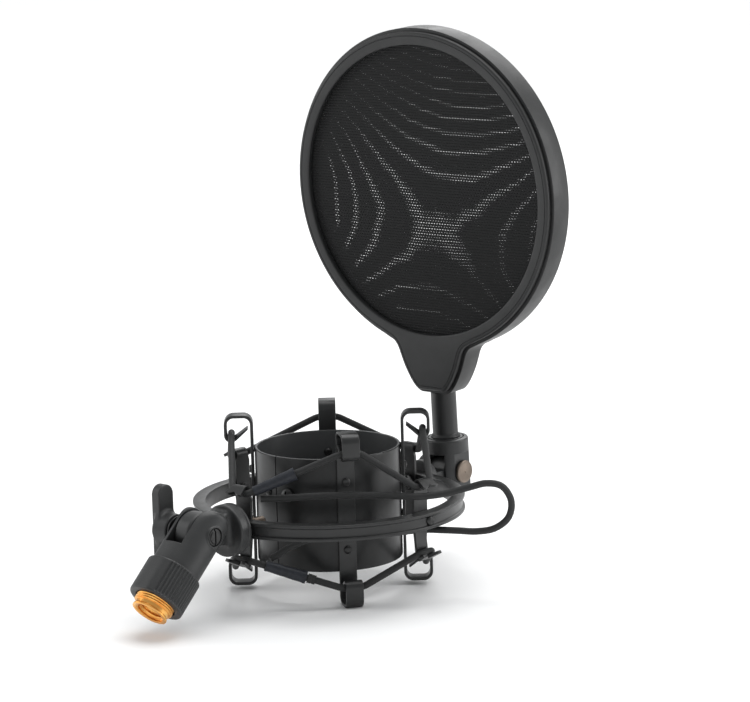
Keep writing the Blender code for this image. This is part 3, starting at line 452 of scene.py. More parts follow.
def rounded(outline, radius, steps=3):
    """A closed outline with its corners rounded; corners on the axis stay as they are."""
    points = [Vector(p) for p in outline]
    result = []
    for i, corner in enumerate(points):
        before, after = points[i - 1], points[(i + 1) % len(points)]
        if abs(corner.x) < 1e-6:
            result.append(tuple(corner))
            continue
        into, out = before - corner, after - corner
        reach = min(radius, 0.45 * into.length, 0.45 * out.length)
        start = corner + into.normalized() * reach
        end = corner + out.normalized() * reach
        for k in range(steps + 1):
            t = k / steps
            result.append(tuple((1 - t) ** 2 * start + 2 * t * (1 - t) * corner + t ** 2 * end))
    return result


def turned(profile, steps, matrix, bm=None):
    """A solid of revolution about Z from a closed (radius, height) outline, in millimetres."""
    bm = bm or bmesh.new()
    matrix = SCALE @ matrix
    rings = []
    for radius, height in profile:
        if radius < 1e-6:
            rings.append([bm.verts.new(matrix @ Vector((0, 0, height)))] * steps)
            continue
        turns = [2 * math.pi * i / steps for i in range(steps)]
        ring = [Vector((radius * math.cos(a), radius * math.sin(a), height)) for a in turns]
        rings.append([bm.verts.new(matrix @ point) for point in ring])
    for a, b in zip(rings, rings[1:] + rings[:1]):
        for i in range(steps):
            j = (i + 1) % steps
            corners = list(dict.fromkeys((a[i], a[j], b[j], b[i])))
            if len(corners) > 2:
                bm.faces.new(corners)
    return bm


def bridged(loops, matrix, closed=True):
    """Joins loops of equal length: closed joins last to first, otherwise both ends are capped."""
    bm = bmesh.new()
    matrix = SCALE @ matrix
    rings = [[bm.verts.new(matrix @ Vector(p)) for p in loop] for loop in loops]
    following = rings[1:] + rings[:1] if closed else rings[1:]
    count = len(rings[0])
    for a, b in zip(rings, following):
        for i in range(count):
            j = (i + 1) % count
            bm.faces.new((a[i], a[j], b[j], b[i]))
    if not closed:
        bm.faces.new(rings[0])
        bm.faces.new(rings[-1])
    return bm


def lathed(name, profile, edge, steps, matrix, mat, body, slot, node):
    """A turned piece with its corners rounded."""
    bm = turned(rounded(profile, edge), steps, matrix)
    piece(to_object(name, bm, mat), body, slot, node)


def make_washer(name, inner, outer, seat, thick, edge, frame, steel, body, node):
    """A flat washer round a bolt that points to -X, from seat to thick beyond it."""
    profile = [(inner, -seat - thick), (outer, -seat - thick), (outer, -seat), (inner, -seat)]
    lathed(name, profile, edge, 64, frame @ ALONG_X, steel, body, "dark_steel", node)


def make_rivet(name, ends, steps, frame, steel, body, node):
    """A rivet from its two ends, each given as its seat, its rounding and (radius, rise) points."""
    bm = bmesh.new()
    for seat, edge, outline in ends:
        profile = rounded([(radius, seat + rise) for radius, rise in outline], edge)
        turned(profile, steps, frame, bm)
    piece(to_object(name, bm, steel), body, "dark_steel", node)


def polar(radius, azimuth, z):
    turn = math.radians(azimuth)
    return Vector((radius * math.cos(turn), radius * math.sin(turn), z))


def tangent(azimuth):
    turn = math.radians(azimuth)
    return Vector((-math.sin(turn), math.cos(turn), 0.0))


def facing(azimuth, z):
    """A frame on the ring's axis whose Z axis points outwards along the azimuth."""
    turn = Matrix.Rotation(math.radians(azimuth), 4, "Z")
    return RING_FRAME @ Matrix.Translation((0, 0, z)) @ turn @ ALONG_X


def arc(centre, radius, start, end, steps):
    turns = [math.radians(start + (end - start) * i / steps) for i in range(steps + 1)]
    return [(centre[0] + radius * math.cos(a), centre[1] + radius * math.sin(a)) for a in turns]


def catmull(points, per_span):
    """A smooth line through the points, with per_span steps from each to the next."""
    path = []
    last = len(points) - 1
    for i in range(last):
        before, start, end = points[max(i - 1, 0)], points[i], points[i + 1]
        after = points[min(i + 2, last)]
        for k in range(per_span):
            t = k / per_span
            path.append(0.5 * (2 * start + (end - before) * t
                               + (2 * before - 5 * start + 4 * end - after) * t ** 2
                               + (3 * start - before - 3 * end + after) * t ** 3))
    return path + [points[last]]


# ---- distance fields for moulded parts

def round_join(a, b, k):
    """The union of two distance fields with a fillet of about k."""
    h = np.clip(0.5 + 0.5 * (b - a) / k, 0, 1)
    return b + (a - b) * h - k * h * (1 - h)


def round_cut(a, b, k):
    return -round_join(-a, b, k)


def round_common(a, b, k):
    return -round_join(-a, -b, k)


def rod_field(radial, height, radius, low, high, edge):
    """A round rod between two heights with its rims rounded."""
    a = radial - (radius - edge)
    b = np.abs(height - (low + high) / 2) - ((high - low) / 2 - edge)
    return np.hypot(np.maximum(a, 0), np.maximum(b, 0)) + np.minimum(np.maximum(a, b), 0) - edge


def slab_field(outline, across, half, edge):
    """A flat outline given thickness, with its rims rounded."""
    a, b = outline + edge, np.abs(across) - (half - edge)
    return np.hypot(np.maximum(a, 0), np.maximum(b, 0)) + np.minimum(np.maximum(a, b), 0) - edge


def domed_head(x, y, z, seat, radius, sunk, rise, edge, drop, dome, blend):
    """A round screw head from sunk under its seat to rise over it, its top part of a sphere."""
    head = rod_field(np.hypot(x, y), z, radius, seat - sunk, seat + rise, edge)
    ball = np.sqrt(x ** 2 + y ** 2 + (z - seat + drop) ** 2) - dome
    return round_common(head, ball, blend)


def thread(height, angle, pitch, depth):
    """How far a helical thread's flank lies under its crest."""
    turn = height / pitch - angle / (2 * math.pi)
    return depth * 2 * np.abs(turn - np.round(turn))


def slope_of(field, at):
    """The field's gradient at each point, from values a twentieth of a millimetre either way."""
    half = 0.05
    parts = []
    for k in range(3):
        move = np.zeros(3)
        move[k] = half
        parts.append(field(*(at + move).T) - field(*(at - move).T))
    return np.stack(parts, 1) / (2 * half)


def carved(name, field, low, high, step, matrix, mat, body, slot, node):
    """The zero surface of field, a function of x, y and z in millimetres, as a smooth piece."""
    low = np.array(low, np.float32)
    axes = [np.arange(a, b + step, step, dtype=np.float32) for a, b in zip(low, high)]
    values = field(*np.meshgrid(*axes, indexing="ij", sparse=True)).astype(np.float32) / step
    band = 3.0      # how many steps from the surface the grid keeps distances
    grid = openvdb.FloatGrid()
    grid.background = band
    grid.copyFromArray(np.clip(values, -band, band))
    points, triangles, quads = grid.convertToPolygons(isovalue=0.0, adaptivity=0.0)
    points = np.asarray(points, np.float64) * step + low
    for _ in range(2):
        # each point moves along the slope towards the true surface
        rise = slope_of(field, points)
        size = np.maximum((rise ** 2).sum(1, keepdims=True), 0.25)
        shift = rise * (field(*points.T)[:, None] / size)
        points -= np.clip(shift, -0.4 * step, 0.4 * step)
    normals = slope_of(field, points)
    normals /= np.linalg.norm(normals, axis=1, keepdims=True) + 1e-9
    faces = [tuple(int(i) for i in face) for group in (quads, triangles) for face in group]
    mesh = bpy.data.meshes.new(name)
    mesh.from_pydata((points * MM).tolist(), [], faces)
    mesh.transform(Matrix.Translation(matrix.translation * MM) @ matrix.to_3x3().to_4x4())
    turn = np.array(matrix.to_3x3())
    first = mesh.polygons[0]
    if Vector(turn @ normals[first.vertices[0]]).dot(first.normal) < 0:
        mesh.flip_normals()
    mesh.shade_smooth()
    mesh.normals_split_custom_set_from_vertices((normals @ turn.T).tolist())
    mesh.materials.append(mat)
    piece(linked(name, mesh), body, slot, node)


# ---- cords

def evened(path, spacing, closed):
    """The same line with its points at equal spacing."""
    points = np.array([tuple(p) for p in path])
    if closed:
        points = np.vstack([points, points[:1]])
    runs = np.linalg.norm(np.diff(points, axis=0), axis=1)
    along = np.concatenate([[0.0], np.cumsum(runs)])
    count = int(round(along[-1] / spacing))
    wanted = np.linspace(0, along[-1], count + 1)
    made = np.stack([np.interp(wanted, along, points[:, k]) for k in range(3)], 1)
    return (made[:-1] if closed else made), along[-1]


def braid_tube(name, path, radius, mat, closed, strands=8, relief=0.05, matrix=RING_FRAME):
    """A cord whose surface is a braid of crossing strands that stand proud by turns."""
    spacing, sides, lay_length = 0.42, 32, 7.2
    line, length = evened(path, spacing, closed)
    count = len(line)
    ahead = np.roll(line, -1, 0) - np.roll(line, 1, 0)
    if not closed:
        ahead[0], ahead[-1] = line[1] - line[0], line[-1] - line[-2]
    ahead /= np.linalg.norm(ahead, axis=1, keepdims=True)
    side = np.zeros_like(line)
    side[0] = np.cross(ahead[0], (0, 0, 1))
    for i in range(1, count):
        kept = side[i - 1] - ahead[i] * (side[i - 1] @ ahead[i])
        side[i] = kept / np.linalg.norm(kept)
    side[0] /= np.linalg.norm(side[0])
    other = np.cross(ahead, side)
    drift = 0.0
    if closed:
        last = side[-1] - ahead[0] * (side[-1] @ ahead[0])
        drift = math.atan2(last @ other[0], last @ side[0])
    turns = np.arange(sides) * 2 * math.pi / sides
    share = np.arange(count)[:, None] / count
    angle = turns[None, :] - drift * share
    lay = 2 * math.pi * np.round(length / lay_length) * share
    left = np.cos(strands * turns[None, :] + strands * lay / 2)
    right = np.cos(strands * turns[None, :] - strands * lay / 2)
    lift = relief * (np.maximum(left, right) - 0.6) * 0.6
    reach = radius * (1 + np.minimum(lift, 0.02))
    rim = (line[:, None, :] + reach[..., None] * (np.cos(angle)[..., None] * side[:, None, :]
                                                  + np.sin(angle)[..., None] * other[:, None, :]))
    loops = [[tuple(p) for p in ring] for ring in rim]
    return to_object(name, bridged(loops, matrix, closed), mat, 60.0)


def elastic_corners(hook_z, post_z):
    """Where a closed elastic bends: both edges of each hook's and each post's seat, in turn."""
    stops = [(azimuth, HOOK_CORD_R, hook_z + lift)
             for azimuth, lift in zip(HOOK_AZIMUTHS, HOOK_LIFTS)]
    stops += [(azimuth, RING_R_IN + CORD_R, post_z) for azimuth in POST_AZIMUTHS]
    stops.sort(key=lambda stop: stop[0] % 360)
    corners = []
    for azimuth, radius, z in stops:
        centre, aside = polar(radius, azimuth, z), tangent(azimuth) * CORD_SEAT_HALF
        corners += [centre - aside, centre + aside]
    return corners


def softened(corners, cut, per_corner):
    """A closed path with its corners rounded, starting cut millimetres before each one."""
    path = []
    for i, corner in enumerate(corners):
        before, after = corners[i - 1], corners[(i + 1) % len(corners)]
        start = corner + (before - corner).normalized() * cut
        end = corner + (after - corner).normalized() * cut
        for k in range(per_corner + 1):
            t = k / per_corner
            path.append((1 - t) ** 2 * start + 2 * t * (1 - t) * corner + t ** 2 * end)
    return path


def stretches(obj, node):
    """obj runs between the posts on the ring and the hooks on the cradle; this bakes its transform
    into its mesh and hides that CAD node.
    """
    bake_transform(obj)
    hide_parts(node)


def make_sleeve(name, node, level, start, end, radii, mat):
    """A shrunk tube on the straight stretch from the post at 270 degrees to the hook before it."""
    hook_z, post_z = ELASTIC_LEVELS[level]
    azimuth, lift = HOOK_AZIMUTHS[3], HOOK_LIFTS[3]
    post = polar(RING_R_IN + CORD_R, 270.0, post_z) + tangent(270.0) * CORD_SEAT_HALF
    hook = polar(HOOK_CORD_R, azimuth, hook_z + lift) - tangent(azimuth) * CORD_SEAT_HALF
    low, high = post.lerp(hook, start), post.lerp(hook, end)
    along = high - low
    turn = along.to_track_quat("Z", "Y").to_matrix().to_4x4()
    lip, steps = 0.16, 24
    outside = []
    for k in range(steps + 1):
        t = k / steps
        lips = lip * (math.exp(-((t - 0.02) / 0.03) ** 2) + math.exp(-((t - 0.98) / 0.03) ** 2))
        swell = 0.05 * math.sin(17 * t + radii[0]) * math.sin(math.pi * t)
        radius = radii[0] + (radii[1] - radii[0]) * t
        outside.append((radius - lip + lips + swell, along.length * t))
    inner = CORD_R + 0.12
    profile = [(inner, 0.0)] + outside + [(inner, along.length)]
    obj = to_object(name, turned(profile, 48, RING_FRAME @ Matrix.Translation(low) @ turn), mat)
    stretches(obj, node)


def make_elastics(rubber, sleeve):
    for level, (hook_z, post_z) in ELASTIC_LEVELS.items():
        path = softened(elastic_corners(hook_z, post_z), 1.8, 8)
        obj = braid_tube(f"{level}_elastic_braid", path, CORD_R, rubber, True)
        stretches(obj, f"{level}_elastic")
    make_sleeve("upper_sleeve_tube", "upper_sleeve", "upper", 0.07, 0.52, (2.0, 2.65), sleeve)
    make_sleeve("lower_sleeve_tube", "lower_sleeve", "lower", 0.17, 0.60, (2.15, 2.6), sleeve)
    make_sleeve("sleeve_collar_crimp", "sleeve_collar", "lower", 0.62, 0.70, (2.0, 1.9), rubber)


def make_link_cord(rubber):
    """The free loop of cord, from beside the upper sleeve round to beside the lower one."""
    points = [Vector(point) for point in LINK_ROUTE]
    smooth = catmull(points, 12)
    obj = braid_tube("link_cord_braid", smooth, CORD_R, rubber, False)
    piece(obj, "outer_frame", "elastic_cord", "link_cord")


# ---- outer frame

def make_ring(paint):
    lip, floor = 1.15, 1.55
    profile = [(RING_R_IN, RING_LOW), (RING_R_OUT, RING_LOW), (RING_R_OUT, RING_LOW + lip),
               (RING_WEB_R, RING_LOW + floor), (RING_WEB_R, RING_HIGH - floor),
               (RING_R_OUT, RING_HIGH - lip), (RING_R_OUT, RING_HIGH), (RING_R_IN, RING_HIGH)]
    bm = turned(rounded(profile, 0.32, 4), 288, RING_FRAME)
    piece(to_object("ring_channel", bm, paint), "outer_frame", "satin_black_metal", "outer_ring")


def post_line(run):
    """Where a post's middle surface is, run millimetres along it from the ring's mid height.

    Gives the distance outwards, the height and the lean: each end rolls outwards over the cord.
    """
    straight, roll_r, roll = 13.9, 1.7, math.radians(122.0)
    over = max(0.0, abs(run) - straight)
    lean = min(over / roll_r, roll)
    flat = max(0.0, over - roll_r * roll)
    out = roll_r * (1 - math.cos(lean)) + flat * math.sin(lean)
    height = min(abs(run), straight) + roll_r * math.sin(lean) + flat * math.cos(lean)
    return out, height, lean


def post_point(azimuth, side, share, across):
    """A point of a post: side is -0.5 or 0.5, share and across go from -1 to 1 up and over it."""
    marks = (-21.6, -17.0, -13.9, -3.0, 11.0, 13.9, 17.0, 21.6)
    widths = (5.2, 3.4, 2.5, 3.8, 3.9, 3.1, 3.2, 4.1)
    notch = (3.2 if share < 0 else 1.2) * max(0.0, 1 - abs(across) * 1.7)
    run = share * (POST_REACH - notch * abs(share) ** 4)
    out, height, lean = post_line(run)
    out += side * POST_THICK * math.cos(lean)
    height -= side * POST_THICK * math.sin(lean)
    middle_r = RING_R_IN - GAP - POST_THICK / 2
    place = polar(middle_r + out, azimuth, RING_MIDDLE + math.copysign(height, run))
    return place + tangent(azimuth) * across * float(np.interp(run, marks, widths))


def make_posts(paint):
    """Plates that taper downwards; both ends spread into a fishtail and roll out over the cord."""
    across_steps, along_steps = 16, 96
    rim = ([(i, 0) for i in range(along_steps)] + [(along_steps, j) for j in range(across_steps)]
           + [(i, across_steps) for i in range(along_steps, 0, -1)]
           + [(0, j) for j in range(across_steps, 0, -1)])
    for index, azimuth in enumerate(POST_AZIMUTHS, 1):
        bm = bmesh.new()
        sides = []
        for side in (-0.5, 0.5):
            grid = []
            for i in range(along_steps + 1):
                row = [post_point(azimuth, side, 2 * i / along_steps - 1, 2 * j / across_steps - 1)
                       for j in range(across_steps + 1)]
                grid.append([bm.verts.new((point + RING_AXIS) * MM) for point in row])
            sides.append(grid)
            for i in range(along_steps):
                for j in range(across_steps):
                    bm.faces.new((grid[i][j], grid[i + 1][j], grid[i + 1][j + 1], grid[i][j + 1]))
        for (i, j), (k, m) in zip(rim, rim[1:] + rim[:1]):
            bm.faces.new((sides[0][i][j], sides[0][k][m], sides[1][k][m], sides[1][i][j]))
        obj = to_object(f"post_plate_{index}", bm, paint, 50.0)
        soften_edges(obj, 0.2)
        piece(obj, "outer_frame", "satin_black_metal", f"band_post_{index}")


def soften_edges(obj, width):
    bevel = obj.modifiers.new("edge", "BEVEL")
    bevel.width = width * MM
    bevel.segments = 2
    bevel.limit_method = "ANGLE"
    bevel.angle_limit = math.radians(50)
    bevel.harden_normals = True


def make_post_rivets(steel):
    inner = RING_R_IN - POST_THICK - 2 * GAP
    head = ((0, -0.2), (2.0, -0.2), (2.0, 0.25), (1.7, 0.75), (1.0, 1.1), (0, 1.2))
    tail = ((0, -0.9), (1.2, -0.9), (2.0, -0.4), (2.0, 0.3), (0, 0.3))
    ends = ((RING_WEB_R, 0.3, head), (inner, 0.3, tail))
    for index, azimuth in ((1, 0), (2, 180)):
        make_rivet(f"post_rivet_head_{index}", ends, 40, facing(azimuth, RING_MIDDLE), steel,
                   "outer_frame", f"post_rivet_{index}")


def make_bracket_screw(name, node, azimuth, reach, stub, mat):
    """A screw through post and ring into a bracket, with a hexagon nut inside the ring."""
    inner = RING_R_IN - POST_THICK - 2 * GAP
    nut_half, shank_r, pitch = 3.2, 1.9, 0.7
    nut_low, end = inner - 2.4, BRACKET_FACE + reach

    def field(x, y, z):
        hexagon = np.maximum(np.abs(x), np.abs(x) * 0.5 + np.abs(y) * 0.866)
        nut = rod_field(hexagon, z, nut_half, nut_low, inner, 0.3)
        flank = thread(z, np.arctan2(y, x), pitch, 0.18)
        shank = rod_field(np.hypot(x, y) + flank, z, shank_r, nut_low - stub, end, 0.25)
        return round_join(nut, shank, 0.25)

    carved(name, field, (-3.8, -3.8, inner - 3.0 - stub), (3.8, 3.8, end + 0.4), 0.16,
           facing(azimuth, RING_MIDDLE), mat, "outer_frame", "nickel", node)


def cross_cut(shape, x, y, above, depth):
    """A cross recess whose floor lies depth under the face where above is zero."""
    narrow = 0.42 + 0.12 * np.maximum(above, -depth)
    arms = np.minimum(np.maximum(np.abs(x) - narrow, np.abs(y) - 1.9 - above * 0.5),
                      np.maximum(np.abs(y) - narrow, np.abs(x) - 1.9 - above * 0.5))
    return round_cut(shape, np.maximum(arms, -depth - above), 0.12)


def make_swivel_bracket(plastic):
    """A round flange with a turned groove, and the tongue that the fork grips."""
    flange_r, flange_thick, socket_r, socket_deep = 10.2, 5.7, 2.3, 4.8
    eye_r, hole_r, arm_long, arm_half, tongue_half, fillet = 8.7, 2.8, 19.0, 6.0, 3.8, 2.8

    def field(x, y, z):
        back = -y - BRACKET_FACE
        radial = np.hypot(x, z - RING_MIDDLE)
        flange = rod_field(radial, back, flange_r, 0.0, flange_thick, 0.7)
        flange = round_cut(flange, np.hypot(radial - 10.3, back - 1.7) - 0.4, 0.2)
        dy, dz = y - SWIVEL.y, z - SWIVEL.z
        eye = np.hypot(dy, dz) - eye_r
        arm = np.maximum(np.maximum(-dy, dy - arm_long), np.abs(dz + 0.3) - arm_half)
        tongue = slab_field(round_join(eye, arm, 0.8), x, tongue_half, 1.3)
        shape = round_join(flange, tongue, fillet)
        shape = round_cut(shape, np.hypot(dy, dz) - hole_r, 0.2)
        socket = rod_field(radial, back, socket_r, -1.0, socket_deep, 0.1)
        return round_cut(shape, socket, 0.15)

    carved("swivel_bracket_moulding", field, (-10.8, -84.0, 22.8), (10.8, -53.8, 45.6), 0.2,
           RING_FRAME, plastic, "outer_frame", "black_plastic", "swivel_bracket")


def make_filter_bracket(plastic):
    """A smaller flange, and a tongue low enough for the yoke to tilt over it."""
    flange_r, flange_thick, socket_r, socket_deep = 7.5, 3.5, 2.3, 3.0
    eye_r, hole_r, arm_long, arm_top, arm_low, tongue_half = 7.2, 2.6, 16.0, 1.2, -6.0, 4.2

    def field(x, y, z):
        out = y - BRACKET_FACE
        radial = np.hypot(x, z - RING_MIDDLE)
        flange = rod_field(radial, out, flange_r, 0.0, flange_thick, 0.6)
        dy, dz = y - FILTER.y, z - FILTER.z
        eye = np.hypot(dy, dz) - eye_r
        arm = np.maximum(np.maximum(dy, -dy - arm_long), np.maximum(dz - arm_top, arm_low - dz))
        tongue = slab_field(round_join(eye, arm, 1.6), x - TONGUE_X, tongue_half, 0.5)
        shape = round_join(flange, tongue, 1.0)
        shape = round_cut(shape, np.hypot(dy, dz) - hole_r, 0.2)
        socket = rod_field(radial, out, socket_r, -1.0, socket_deep, 0.1)
        return round_cut(shape, socket, 0.15)

    carved("filter_bracket_moulding", field, (-8.2, 53.8, 25.4), (8.2, 80.6, 42.6), 0.2,
           RING_FRAME, plastic, "outer_frame", "black_plastic", "filter_bracket")


# ---- cradle

def wall_piece(name, radii, heights, edge, azimuths, steps, mat, slot, node):
    """A curved wall with rounded edges, carried round the ring's axis between two azimuths."""
    (r_in, r_out), (low, high), (start, end) = radii, heights, azimuths
    outline = rounded([(r_in, low), (r_out, low), (r_out, high), (r_in, high)], edge, 4)
    turns = [start + (end - start) * i / steps for i in range(steps + 1)]
    loops = [[polar(radius, azimuth, z) for radius, z in outline] for azimuth in turns]
    obj = to_object(name, bridged(loops, RING_FRAME, closed=False), mat)
    piece(obj, "cradle", slot, node)


def make_tube(paint, felt, steel):
    """The split tube, the felt that lines it, and the strip that the clamp screw draws in."""
    half = math.degrees(0.5 * SPLIT_WIDTH / 2 / TUBE_R)
    wall_piece("cradle_barrel", (TUBE_R - TUBE_WALL, TUBE_R), (TUBE_LOW, TUBE_HIGH), 0.35,
               (SPLIT_AZIMUTH + half, SPLIT_AZIMUTH + 360 - half), 240, paint,
               "satin_black_metal", "cradle_tube")
    r_out = TUBE_R - TUBE_WALL - GAP
    radii = (r_out - LINER_WALL, r_out)
    wall_piece("felt_lining", radii, (LINER_LOW, LINER_HIGH), 0.5,
               (SPLIT_AZIMUTH + LINER_MARGIN, SPLIT_AZIMUTH + 360 - LINER_MARGIN), 160, felt,
               "felt", "felt_liner")
    wall_piece("clamp_strip", radii, (CLAMP_Z - 5, CLAMP_Z + 5), 0.3,
               (SPLIT_AZIMUTH - 14, SPLIT_AZIMUTH + 20), 40, steel, "dark_steel", "clamp_plate")


def hook_path():
    """Middle line of a strap from its top end to its bottom end, as (radius, z)."""
    leg = TUBE_R + GAP + STRAP_THICK / 2
    top = STRAP_HEIGHT - STRAP_THICK / 2
    seat = CORD_R + GAP + STRAP_THICK / 2
    outer = HOOK_CORD_R + seat
    corner = HOOK_CORNER_R
    seat_arc = arc((HOOK_CORD_R, HOOK_CORD_TOP), seat, -90 - HOOK_TAB_ANGLE, 0, 16)
    tab = math.radians(180 - HOOK_TAB_ANGLE)
    end = (seat_arc[0][0] + HOOK_TAB * math.cos(tab), seat_arc[0][1] + HOOK_TAB * math.sin(tab))
    upper = [end] + seat_arc
    upper += arc((outer - corner, top - corner), corner, 0, 90, 10)
    upper += arc((leg + corner, top - corner), corner, 90, 180, 10)
    return upper + [(radius, STRAP_HEIGHT - z) for radius, z in reversed(upper)]


def make_straps(paint):
    """Flat strips bent into a hook at each end, with rolled edges and thinned tips."""
    path = hook_path()
    wide, thick = 0.5 * STRAP_WIDTH, 0.5 * STRAP_THICK
    section = rounded([(-wide, -thick), (wide, -thick), (wide, thick), (-wide, thick)], 0.3, 3)
    last = len(path) - 1
    for index, (azimuth, lift) in enumerate(zip(HOOK_AZIMUTHS, HOOK_LIFTS), 1):
        loops = []
        for i, (radius, z) in enumerate(path):
            before, after = path[max(i - 1, 0)], path[min(i + 1, last)]
            along = Vector((after[0] - before[0], after[1] - before[1])).normalized()
            thin = 0.45 if i in (0, last) else 1.0
            loops.append([polar(radius - along.y * b * thin, azimuth, z + lift + along.x * b * thin)
                          + tangent(azimuth) * a for a, b in section])
        obj = to_object(f"hook_strap_{index}", bridged(loops, RING_FRAME, closed=False), paint)
        piece(obj, "cradle", "satin_black_metal", f"cradle_hook_{index}")


def make_cradle_rivets(steel):
    inside = TUBE_R - TUBE_WALL - GAP
    outside = TUBE_R + STRAP_THICK + GAP
    head = ((0, -0.1), (1.7, -0.1), (1.65, 0.45), (1.0, 0.85), (0, 0.95))
    tail = ((0, -0.6), (1.1, -0.6), (1.6, -0.1), (1.6, 0.3), (0, 0.3))
    ends = ((outside, 0.25, head), (inside, 0.2, tail))
    places = [(a, z) for a in HOOK_AZIMUTHS for z in (TUBE_LOW + 9.0, TUBE_HIGH - 9.0)]
    for index, (azimuth, z) in enumerate(places, 1):
        make_rivet(f"strap_rivet_head_{index}", ends, 32, facing(azimuth, z), steel, "cradle",
                   f"strap_rivet_{index}")
    head = ((0, 0.0), (1.6, 0.0), (1.6, 0.5), (1.0, 0.9), (0, 1.0))
    tail = ((0, -0.6), (1.3, -0.6), (1.6, 0.0), (1.6, 0.3), (0, 0.3))
    ends = ((TUBE_R, 0.25, head), (BEHIND_LINER_R, 0.2, tail))
    make_rivet("clamp_strip_rivet", ends, 32, facing(SPLIT_AZIMUTH - 9, CLAMP_Z), steel, "cradle",
               "clamp_plate_rivet")


def make_clamp_screw(steel):
    seat = TUBE_R + GAP
    head_r, head_high, shank_r, cross_deep = 2.65, 1.9, 1.4, 1.1

    def field(x, y, z):
        head = domed_head(x, y, z, seat, head_r, 0.3, head_high, 0.35, 2.2, 4.1, 0.25)
        flank = thread(z, np.arctan2(y, x), 0.5, 0.15)
        shank = rod_field(np.hypot(x, y) + flank, z, shank_r, BEHIND_LINER_R - 1.6, seat, 0.15)
        return cross_cut(round_join(head, shank, 0.2), x, y, z - seat - head_high, cross_deep)

    carved("clamp_screw_body", field, (-3.0, -3.0, BEHIND_LINER_R - 2.0), (3.0, 3.0, seat + 2.3),
           0.13, facing(CLAMP_AZIMUTH, CLAMP_Z), steel, "clamp_screw", "nickel", "clamp_screw")


# ---- stand swivel

def make_fork(plastic):
    """Two cheeks on a round body, flattened in line with the slot, and a ribbed grip below."""
    body_flat, grip_flat, slot_half, slot_floor = 9.3, 10.75, 4.1, -9.5
    boss_r, boss_face, recess_r, recess_floor = 4.1, 9.75, 3.6, 8.6
    rib_count, rib_deep, thread_pitch = 48, 0.46, 0.94

    def field(x, y, z):
        radial = np.hypot(x, y)
        body = rod_field(radial, z, FORK_R, -BARREL_START - 1.5, FORK_R + 1.5, 0.4)
        cheek = np.where(z > 0, np.hypot(y, z), np.abs(y)) - (FORK_R - 0.05)
        body = round_common(body, cheek, 2.6)
        body = round_common(body, np.abs(y) - body_flat, 0.5)
        boss = rod_field(np.hypot(y, z), x, boss_r, -10.0, boss_face, 0.25)
        body = round_join(body, boss, 0.6)
        recess = rod_field(np.hypot(y, z), x, recess_r, recess_floor, 12.0, 0.1)
        body = round_cut(body, recess, 0.15)
        angle = np.arctan2(x, y)
        ribbed = np.clip((np.abs(x) / (radial + 1e-6) - 0.47) / 0.05, 0, 1)
        fade = np.clip((z + BARREL_END - 0.5) / 0.6, 0, 1)
        fade = fade * np.clip((-BARREL_START - 0.5 - z) / 0.5, 0, 1)
        ribs = rib_deep * ribbed * fade * (0.5 - 0.5 * np.cos(rib_count * angle))
        grip = rod_field(radial, z, BARREL_R, -BARREL_END, -BARREL_START, 0.75)
        grip = round_common(grip + ribs, np.abs(y) - grip_flat, 0.3)
        shape = round_join(body, grip, 0.45)
        shape = round_cut(shape, np.maximum(np.abs(x) - slot_half, slot_floor - z), 0.45)
        flank = thread(z, angle, thread_pitch, 0.3)
        bore = rod_field(radial - 0.25 + flank, z, ADAPTER_R + GAP, -40.0, -BARREL_START - 1.6, 0.2)
        shape = round_cut(shape, bore, 0.3)
        return round_cut(shape, np.hypot(y, z) - PIVOT_BOLT_R - GAP, 0.2)

    carved("swivel_fork_moulding", field, (-11.8, -11.8, -33.0), (11.8, 11.8, 10.6), 0.2,
           SWIVEL_FRAME, plastic, "stand_swivel", "black_plastic", "swivel_fork")


def make_swivel_hardware(steel):
    """The bolt, sunk in its boss with an upright slot, and the washer at its far end."""
    seat = FORK_R + GAP
    lean = math.radians(90 - SWIVEL_DROP)
    head_r, slot_half = 3.25, 0.28

    def field(x, y, z):
        radial = np.hypot(y, z)
        head = rod_field(radial, x, head_r, seat - 1.4, seat - 0.45, 0.25)
        flank = thread(x, np.arctan2(z, y), 0.8, 0.3) * np.clip((-9.5 - x) / 0.5, 0, 1)
        shank = rod_field(radial + flank, x, PIVOT_BOLT_R, WING_X - 1.5, seat, 0.25)
        across = y * math.cos(lean) + z * math.sin(lean)
        slot = np.maximum(np.abs(across) - slot_half, seat - 0.95 - x)
        return round_cut(round_join(head, shank, 0.2), slot, 0.1)

    carved("pivot_bolt_slotted", field, (WING_X - 2.0, -4.0, -4.0), (seat + 2.3, 4.0, 4.0), 0.15,
           SWIVEL_FRAME, steel, "stand_swivel", "dark_steel", "swivel_pivot_bolt")
    make_washer("pivot_washer_ring", PIVOT_BOLT_R + 0.1, 5.5, seat, 0.8, 0.2, SWIVEL_FRAME, steel,
                "stand_swivel", "swivel_washer")


def make_wing_lever(plastic):
    """A hand lever: flat outer face, a tall paddle above and a short one below the hub."""
    inner = -(FORK_R + 2 * GAP + 0.8)
    hub_r, paddle_low, paddle_high, paddle_half, paddle_thick = 6.6, -9.6, 13.2, 3.95, 2.1

    def field(x, y, z):
        radial = np.hypot(y, z)
        taper = np.clip((x - WING_X) / 7.0, 0, 1) * 0.5
        hub = rod_field(radial + taper, x, hub_r, WING_X, inner, 0.6)
        up = np.clip(z, paddle_low, paddle_high)
        outline = np.hypot(y, z - up) - paddle_half
        paddle = slab_field(outline, x - WING_X, paddle_thick, 0.55)
        return round_cut(round_join(paddle, hub, 1.8), radial - PIVOT_BOLT_R - 0.25, 0.2)

    carved("wing_lever_casting", field, (WING_X - 3.6, -7.6, -14.6), (inner + 0.6, 7.6, 18.0), 0.18,
           WING_FRAME, plastic, "wing_lever", "black_plastic", "wing_lever")


